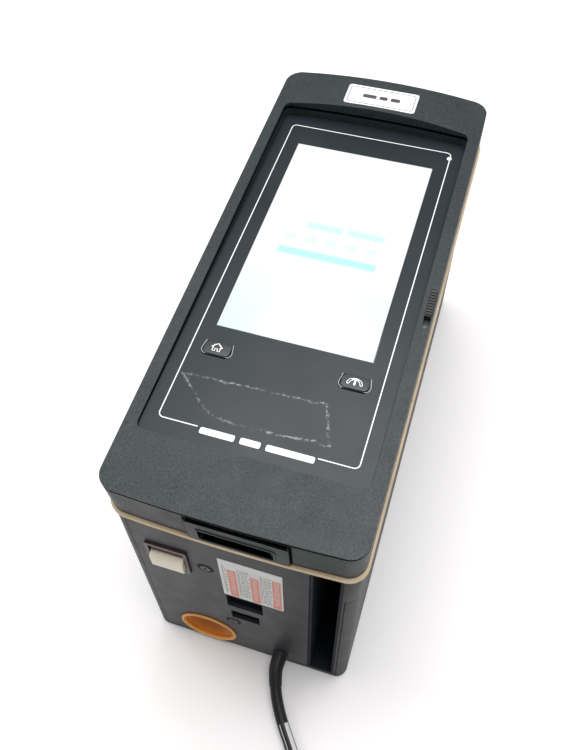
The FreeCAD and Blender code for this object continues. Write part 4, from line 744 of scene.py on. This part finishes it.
dial = Solid(key_turn(46.3))
dial_hub = (0, -1.8)
dial.prism(arc(dial_hub, 4.9, 55, 125, 10) + arc(dial_hub, 3.2, 125, 55, 10), *ICON)
dial.ribbon(arc(dial_hub, 5.0, 125, 172, 8) + arc((-4.3, -1.5), 0.7, 180, 360, 6)
            + arc(dial_hub, 3.5, 165, 125, 6), 0.45, *ICON)
dial.ribbon(arc(dial_hub, 5.0, 55, 8, 8) + arc((4.3, -1.5), 0.7, 0, -180, 6)
            + arc(dial_hub, 3.5, 15, 55, 6), 0.45, *ICON)
dial.prism([(-0.4, 2.0), (0.4, 2.0), (0.75, -1.6), (0.5, -2.4), (0, -2.7), (-0.5, -2.4), (-0.75, -1.6)],
           *ICON)
piece("gauge_icon", dial.done("gauge_icon"), print_white, "gauge_key", smooth=False)

lens = Solid(on_panel)
lens.turned([(0.01, 0.03), (1.75, 0.03), (1.75, 0.12), (1.4, 0.25), (0.01, 0.32)], 24, (63.4, 286.2))


def lens_finish():
    made = Finish("status_lens", (0.85, 0.86, 0.86), 0.25)
    made.tint(made.spread(made.noise(900, 2), 0.5, 0.8, 0, 0.2), (0.6, 0.62, 0.62))
    made.put(made.shader, "Emission Color", (0.9, 0.95, 0.95))
    made.put(made.shader, "Emission Strength", 0.35)
    made.bump(made.noise(1200, 2), 0.05, 0.00003)
    return made


piece("status_dot", lens.done("status_dot"), lens_finish(), "door")

# ---------------------------------------------------------------------------------------------
# Nameplate: satin silver, a dark line round it and three plain blocks


def nameplate_finish():
    made = Finish("nameplate_silver", (0.80, 0.81, 0.81), 0.4, Metallic=0.25)
    made.roughen(made.noise(60, 5, made.stretched((1, 40, 1))), 0.28, 0.5)
    made.tint(made.spread(made.noise(35, 3), 0.45, 0.75, 0, 0.2), (0.62, 0.63, 0.64))
    made.bump(made.noise(80, 4, made.stretched((1, 60, 1))), 0.05, 0.00004)
    return made


plate_low, plate_high = (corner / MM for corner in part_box("nameplate"))
plate_x, plate_y = (plate_low.x + plate_high.x) / 2, (plate_low.y + plate_high.y) / 2
plate_wide, plate_tall = plate_high.x - plate_low.x, plate_high.y - plate_low.y
ink = (plate_high.z + 0.02, plate_high.z + 0.08)
tint_slots(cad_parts["nameplate"], nameplate_finish())
plate_marks = Solid(plain)
plate_marks.frame(rounded(plate_wide - 4, plate_tall - 4, 2, (plate_x, plate_y)),
                  rounded(plate_wide - 5, plate_tall - 5, 1.6, (plate_x, plate_y)), *ink)
for low, high in ((-15, -4), (-1.5, 5), (7.5, 15)):
    plate_marks.prism(rounded(high - low, 4, 1.2, (plate_x + (low + high) / 2, plate_y)), *ink)
piece("plate_marks", plate_marks.done("plate_marks"), print_grey, "door", smooth=False)

# ---------------------------------------------------------------------------------------------
# Thumb slider: ribs across a dark bar

slider_low, slider_high = (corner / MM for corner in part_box("thumb_slider"))
middle = (slider_low.x + slider_high.x) / 2
slider_wide = slider_high.x - slider_low.x
slider_long = slider_high.y - slider_low.y
bar_top, rib_top = slider_high.z + 0.2, slider_high.z + 1.1
RIB_PITCH, RIB_LONG = 2.3, 1.15
ribs = Solid(plain)
ribs.prism(rounded(slider_wide, slider_long, 0.8, (middle, (slider_low.y + slider_high.y) / 2)),
           slider_low.z, bar_top)
for k in range(9):
    along = slider_low.y + 1.5 + RIB_PITCH * k
    ribs.prism(rounded(slider_wide - 0.5, RIB_LONG, 0.4, (middle, along), 3), bar_top, rib_top)
ribs_mesh = ribs.done("slider_ribs")
slider = piece("slider_ribs", ribs_mesh, dark_plastic, "thumb_slider", bevel=0.00012)
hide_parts("thumb_slider")

# Latch: a raised lip round the finger slot, and the end of the slide that shows in it
LATCH_FACE = -196.5


def on_latch(point):
    """From (across, up, out of the face) in millimetres on the latch to the row frame."""
    across, up, out = point
    return Vector((across, LATCH_FACE - out, up)) * MM


latch_lip = Solid(on_latch)
latch_lip.frame(rounded(49.8, 16.8, 2.6, (5.4, 225.5)), rounded(47, 14, 1.6, (5.4, 225.5)), -3.6, 0.7)
piece("latch_lip", latch_lip.done("latch_lip"), bezel, "latch_handle", bevel=0.00015)
latch_stop = Solid(on_latch)
latch_stop.prism(block(26.4, 28.6, 219.2, 231.8), -3.2, -1.2)
piece("latch_stop", latch_stop.done("latch_stop"), channel_black, "latch_handle", bevel=0.0001)

# ---------------------------------------------------------------------------------------------
# Connector end

LABEL_SIDE, LABEL_RISE, LABEL_TOP = 10, 152, 0.32
COLUMNS = [(-13.5, 6.2, 17), (2.4, 6.2, 15), (17.8, 6.0, 21)]
COLUMN_FOOT = -30
DASH_ROWS, DASH_PITCH, DASH_GAP = 17, 2.9, 0.7
ROW_PITCH = 3.4


def label_finish():
    made = Finish("label_stock", (0.70, 0.72, 0.71), 0.38)
    made.tint(made.spread(made.noise(70, 4), 0.4, 0.7, 0, 0.5), (0.58, 0.60, 0.60))
    made.tint(made.spread(made.noise(500, 3), 0.62, 0.74, 0, 0.3), (0.36, 0.35, 0.33))
    made.roughen(made.noise(90, 3), 0.3, 0.5)
    made.bump(made.noise(60, 3), 0.1, 0.0002)
    return made


label_stock = label_finish()
tint_slots(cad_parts["rating_label"], label_stock)
columns = Solid(on_end(LABEL_SIDE, LABEL_RISE))
for middle, wide, high in COLUMNS:
    outline = rounded(wide, high - COLUMN_FOOT, 0.4, (middle, (high + COLUMN_FOOT) / 2), 2)
    columns.prism(outline, LABEL_TOP + 0.01, LABEL_TOP + 0.05)


def salmon_finish():
    made = Finish("salmon_print", (0.74, 0.22, 0.14), 0.42)
    made.tint(made.spread(made.noise(160, 4), 0.45, 0.7, 0, 0.6), (0.60, 0.30, 0.22))
    made.roughen(made.noise(90, 3), 0.35, 0.5)
    made.bump(made.noise(800, 2), 0.05, 0.00003)
    return made


salmon = salmon_finish()
piece("label_columns", columns.done("label_columns"), salmon, "box", smooth=False)
dashes = Solid(on_end(LABEL_SIDE, LABEL_RISE))
for left, right in ((-20, -17.3), (-9.6, -1.3), (6.2, 14.2)):
    for line in range(DASH_ROWS):
        up = 20 - DASH_PITCH * line
        across = left
        while across < right - 0.8:
            run = min(random.uniform(0.9, 2.8), right - across)
            dashes.prism(block(across, across + run, up, up + 1.1), LABEL_TOP + 0.01, LABEL_TOP + 0.045)
            across += run + DASH_GAP
dash_print = white_print("dash_print", (0.20, 0.19, 0.19))
piece("label_dashes", dashes.done("label_dashes"), dash_print, "box", smooth=False)
pale_rows = Solid(on_end(LABEL_SIDE, LABEL_RISE))
for middle, wide, high in COLUMNS:
    for line in range(int((high + 26) / ROW_PITCH)):
        up = high - 3 - ROW_PITCH * line
        run = wide * random.uniform(0.35, 0.7)
        pale_rows.prism(block(middle - run / 2, middle + run / 2, up, up + 0.9),
                        LABEL_TOP + 0.06, LABEL_TOP + 0.09)
piece("label_rows", pale_rows.done("label_rows"), label_stock, "box", smooth=False)

# Rocker: a cream pad with a rounded top edge that stands out, and the dark part above it
SWITCH = on_end(-49, 159)
ROCKER_HALF_WIDE = 11.9
PROUD_PROFILE = [(-12.4, -5), (-12.4, 3.4), (-11.9, 4.2), (-10.9, 4.6), (1.6, 4.6), (3.4, 4.1), (4.7, 3.0),
                 (5.3, 1.4), (5.3, -5)]
SUNK_PROFILE = [(5.3, -5), (5.3, 0.4), (11.9, -0.9), (12.4, -1.4), (12.4, -5)]
for name, profile, finish in (("rocker_proud", PROUD_PROFILE, rocker_cream),
                              ("rocker_sunk", SUNK_PROFILE, switch_red)):
    half_rocker = Solid(lambda p: SWITCH((p[2], p[0], p[1])))
    half_rocker.prism(profile, -ROCKER_HALF_WIDE, ROCKER_HALF_WIDE)
    made = piece(name, half_rocker.done(name), finish, "switch_rocker", bevel=0.0005)
    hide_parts("switch_rocker")

# Panel screws sit in countersinks, drawn as flat black rings of painted shade
for name, side, rise in (("upper", -22.5, 158), ("lower", -9.5, 63)):
    shade_ring = Solid(on_end(side, rise))
    shade_ring.turned([(3.7, 0.02), (6.2, 0.02), (5.9, 0.14), (4.2, 0.1)], 40)
    # The black ring is painted shade standing for the countersunk recess
    piece(f"{name}_screw_shade_ring", shade_ring.done(f"{name}_screw_shade_ring"), channel_black, "box")

# Dust cap: a thin rolled rim, an orange cup darkened inside by painted shade, and a shallow boss in its floor
CAP_PROFILE = [(0.01, -12), (19.6, -12), (20, -11.5), (20, 0.06), (23.3, 0.06), (23.4, 0.9), (23.1, 1.5),
               (22.5, 1.75), (21.9, 1.5), (21.5, 0.7), (20.8, -0.4), (19.3, -2.2), (17.6, -5), (14.6, -8.4),
               (12, -10.2), (9.4, -10.6), (8.8, -9.7), (8.2, -9.7), (7.6, -10.5), (0.01, -10.6)]
cap = Solid(on_end(-33, 29))
cap.turned(CAP_PROFILE, 72)
cap_piece = piece("cap_cup", cap.done("cap_cup"), cap_orange, "dust_cap")
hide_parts("dust_cap")

# Port insides: shield frames finished black as painted shade deep in the ports, and plated contact strips
CONTACTS, SHIELD_EDGE, SHIELD_INNER = 8, 0.05, 0.5
for port, side, rise, wide, tall in (("upper_port", 2.2, 107.5, 27, 21), ("lower_port", 1.2, 80, 22, 15)):
    outer_x, outer_y = wide / 2 - SHIELD_EDGE, tall / 2 - SHIELD_EDGE
    inner_x, inner_y = wide / 2 - SHIELD_INNER, tall / 2 - SHIELD_INNER
    shaded_shield = Solid(on_end(side, rise))
    shaded_shield.frame(block(-outer_x, outer_x, -outer_y, outer_y),
                 block(-inner_x, inner_x, -inner_y, inner_y), -17.5, -6)
    name = f"{port}_shield"
    # The black finish on the shield frame is painted shade inside the port
    piece(name, shaded_shield.done(name), black_plastic, "box", smooth=False)
    contacts = Solid(on_end(side, rise))
    for k in range(CONTACTS):
        across = (k - (CONTACTS - 1) / 2) * wide * 0.075
        contacts.prism(block(across - 0.45, across + 0.45, -tall / 2 + 2.02, -tall / 2 + 2.3), -16, -9)
    name = f"{port}_contacts"
    piece(name, contacts.done(name), gold, "box", smooth=False)

# ---------------------------------------------------------------------------------------------
# Plug and coil tie

TAIL_END = Vector(TAIL_ROUTE[-1])
PLUG_HEADING = TAIL_END - Vector(TAIL_ROUTE[-2])
PLUG_HEADING.z = 0
PLUG_HEADING.normalize()
PLUG_SIDE = PLUG_HEADING.cross(Vector((0, 0, 1)))


def superellipse(half_x, half_z, power, count=40):
    def bulge(amount):
        return math.copysign(abs(amount) ** (2 / power), amount)

    angles = [2 * math.pi * k / count for k in range(count)]
    return [(half_x * bulge(math.cos(angle)), half_z * bulge(math.sin(angle))) for angle in angles]


def plug_shell():
    """A ribbed sleeve on the cord that widens into the plug's body."""
    sections = [(0.5, 4.3, 4.3, 2), (1, 5, 5, 2)]
    for k in range(5):
        low, wide = 2 + 3.4 * k, 5.2 + 0.4 * k
        sections += [(low, wide, wide, 2), (low + 1.9, wide, wide, 2), (low + 2.1, wide - 0.8, wide - 0.8, 2),
                     (low + 3.1, wide - 0.8, wide - 0.8, 2)]
    sections += [(20, 7.4, 7.4, 2.2), (21.5, 10.5, 9.0, 2.6), (25, 15.5, 11.2, 3.2), (30, 17.6, 12.2, 3.6),
                 (36, 18.2, 12.6, 3.8), (42, 18.7, 12.9, 4), (50, 19, 12.9, 4.2), (55, 18.9, 12.9, 4.2),
                 (55.9, 18.2, 12.2, 4.2)]
    solid = Solid(lambda p: (TAIL_END + PLUG_HEADING * p[0] + PLUG_SIDE * p[1] + Vector((0, 0, p[2]))) * MM)
    rings = [solid.ring((along, x, z) for x, z in superellipse(half_x, half_z, power))
             for along, half_x, half_z, power in sections]
    solid.skin(rings)
    solid.mesh.faces.new(rings[0])
    solid.mesh.faces.new(rings[-1][::-1])
    return solid.done("plug_shell")


plug = piece("plug_shell", plug_shell(), black_plastic, "box", flat_angle=40)
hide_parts("plug_body")

TIE_ANGLE, TIE_WIDE = math.radians(150), 12
COIL_RADIUS = 46


def on_coil(point):
    """From (outward, up, along the coil) in millimetres at the tie to the row frame."""
    outward, up, along = point
    across = COIL_RADIUS + outward
    return Vector((COIL_MIDDLE[0] + across * math.cos(TIE_ANGLE) - along * math.sin(TIE_ANGLE),
                   COIL_MIDDLE[1] + across * math.sin(TIE_ANGLE) + along * math.cos(TIE_ANGLE), up)) * MM


tie = Solid(on_coil)
tie.frame(rounded(18.2, 33.4, 4.5, (0, 16.72)), rounded(16.6, 32.2, 4.0, (0, 16.2)),
          -TIE_WIDE / 2, TIE_WIDE / 2)


def tie_finish():
    """Hook tape: a fine woven strap."""
    made = Finish("tie_strap", (0.016, 0.016, 0.018), 0.85)
    weave = made.node("ShaderNodeTexWave", Vector=made.stretched((900, 900, 900)), Scale=1.0, Distortion=1.0)
    made.tint(made.times(weave.outputs["Fac"], 0.5), (0.06, 0.06, 0.065))
    made.roughen(made.noise(300, 2), 0.75, 0.95)
    made.bump(weave.outputs["Fac"], 0.5, 0.0002)
    return made


strap = piece("coil_tie", tie.done("coil_tie"), tie_finish(), "box", bevel=0.0002)

# ---------------------------------------------------------------------------------------------
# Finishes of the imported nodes


def vented_case(name):
    """Bright plated case with rows of small holes, painted dark as the shade inside them."""
    made = metal(name, (0.60, 0.61, 0.62), 0.32)
    shaded_holes = made.spread(made.cells(170), 0.20, 0.26, 1, 0)
    # Painted shade: the vent holes are dark spots, not openings
    made.tint(made.times(shaded_holes, 0.8), (0.05, 0.05, 0.05))
    made.bump(made.times(shaded_holes, -1), 0.4, 0.0003)
    return made


def board_plastics():
    """Small parts on the boards: mostly black, some grey or cream by place."""
    made = moulded("board_plastics", (0.014, 0.014, 0.015), 0.42, 2400, 0.15, 0.05)
    by_place = made.node("ShaderNodeTexVoronoi", Vector=made.place, Scale=24)
    pick = made.node("ShaderNodeSeparateColor", Color=by_place.outputs["Color"]).outputs[0]
    made.tint(made.spread(pick, 0.55, 0.57, 0, 0.7), (0.20, 0.19, 0.16))
    return made


FINISHES = {
    bezel: ["front_frame", "latch_handle"],
    housing_coat: ["housing", "side_cover"],
    panel_coat: ["connector_panel"],
    channel_black: ["channel_liner", "upper_port", "lower_port"],
    seal_rubber: ["seal"],
    switch_red: ["switch_frame"],
    rocker_cream: ["switch_rocker"],
    cap_orange: ["dust_cap"],
    black_plastic: ["switch_body", "fan_frame", "fan_rotor", "capacitors", "gland_nut", "plug_body"],
    dark_plastic: ["socket_insert", "option_module", "status_lens", "thumb_slider"],
    key_top: ["home_key", "gauge_key"],
    steel: ["display_tray", "hinge_brackets", "wall_plate", "card_frame", "latch_spring"],
    bright_steel: ["hinge_pins", "coin_cell", "board_fixings", "plug_pins"],
    dark_steel: ["latch_pin", "panel_screws"],
    vented_case("vented_case"): ["power_supply", "mains_filter", "display_module"],
    aluminium: ["heat_sink", "frame_posts", "chip_cooler", "tool_socket"],
    brass: ["wall_inserts", "earth_studs"],
    gold: ["socket_pins"],
    solder_mask: ["drive_board", "main_board", "display_board", "interface_board", "key_board"],
    board_plastics(): ["board_parts", "display_chips"],
    cord_jacket: ["strain_relief", "mains_lead", "lead_coil", "lead_tail"],
}
for finish, nodes in FINISHES.items():
    for node in nodes:
        tint_slots(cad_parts[node], finish)

# ---------------------------------------------------------------------------------------------
# Floor and light


def floor_finish():
    made = Finish("floor", (0.90, 0.885, 0.885), 0.6)
    made.tint(made.spread(made.noise(3, 2), 0.4, 0.7, 0, 0.3), (0.86, 0.85, 0.85))
    made.bump(made.noise(300, 2), 0.02, 0.0001)
    return made


floor_mesh = bpy.data.meshes.new("floor")
FLOOR_HALF = 6
floor_corners = [(x, y, 0) for x, y in block(-FLOOR_HALF, FLOOR_HALF, -FLOOR_HALF, FLOOR_HALF)]
floor_mesh.from_pydata(floor_corners, [], [(0, 1, 2, 3)])
floor = bpy.data.objects.new("floor", floor_mesh)
scene.collection.objects.link(floor)
tint_slots(floor, floor_finish())


def softbox(name, place, target, size, power):
    data = bpy.data.lights.new(name, "AREA")
    data.shape = "RECTANGLE"
    data.size, data.size_y = size
    data.energy = power
    light = bpy.data.objects.new(name, data)
    light.location = place
    light.rotation_euler = (Vector(target) - Vector(place)).to_track_quat("-Z", "Y").to_euler()
    scene.collection.objects.link(light)


softbox("overhead", (0.1, 0.25, 1.7), (0, 0, 0.2), (1.5, 1.2), 34)
softbox("left_window", (-1.6, 0.3, 1.3), (0, 0, 0.15), (1.2, 1.0), 14)
world = bpy.data.worlds.new("studio")
world.use_nodes = True
world.node_tree.nodes["Background"].inputs["Color"].default_value = (1.0, 0.995, 0.985, 1)
world.node_tree.nodes["Background"].inputs["Strength"].default_value = 0.4
scene.world = world
scene.view_settings.view_transform = "Standard"
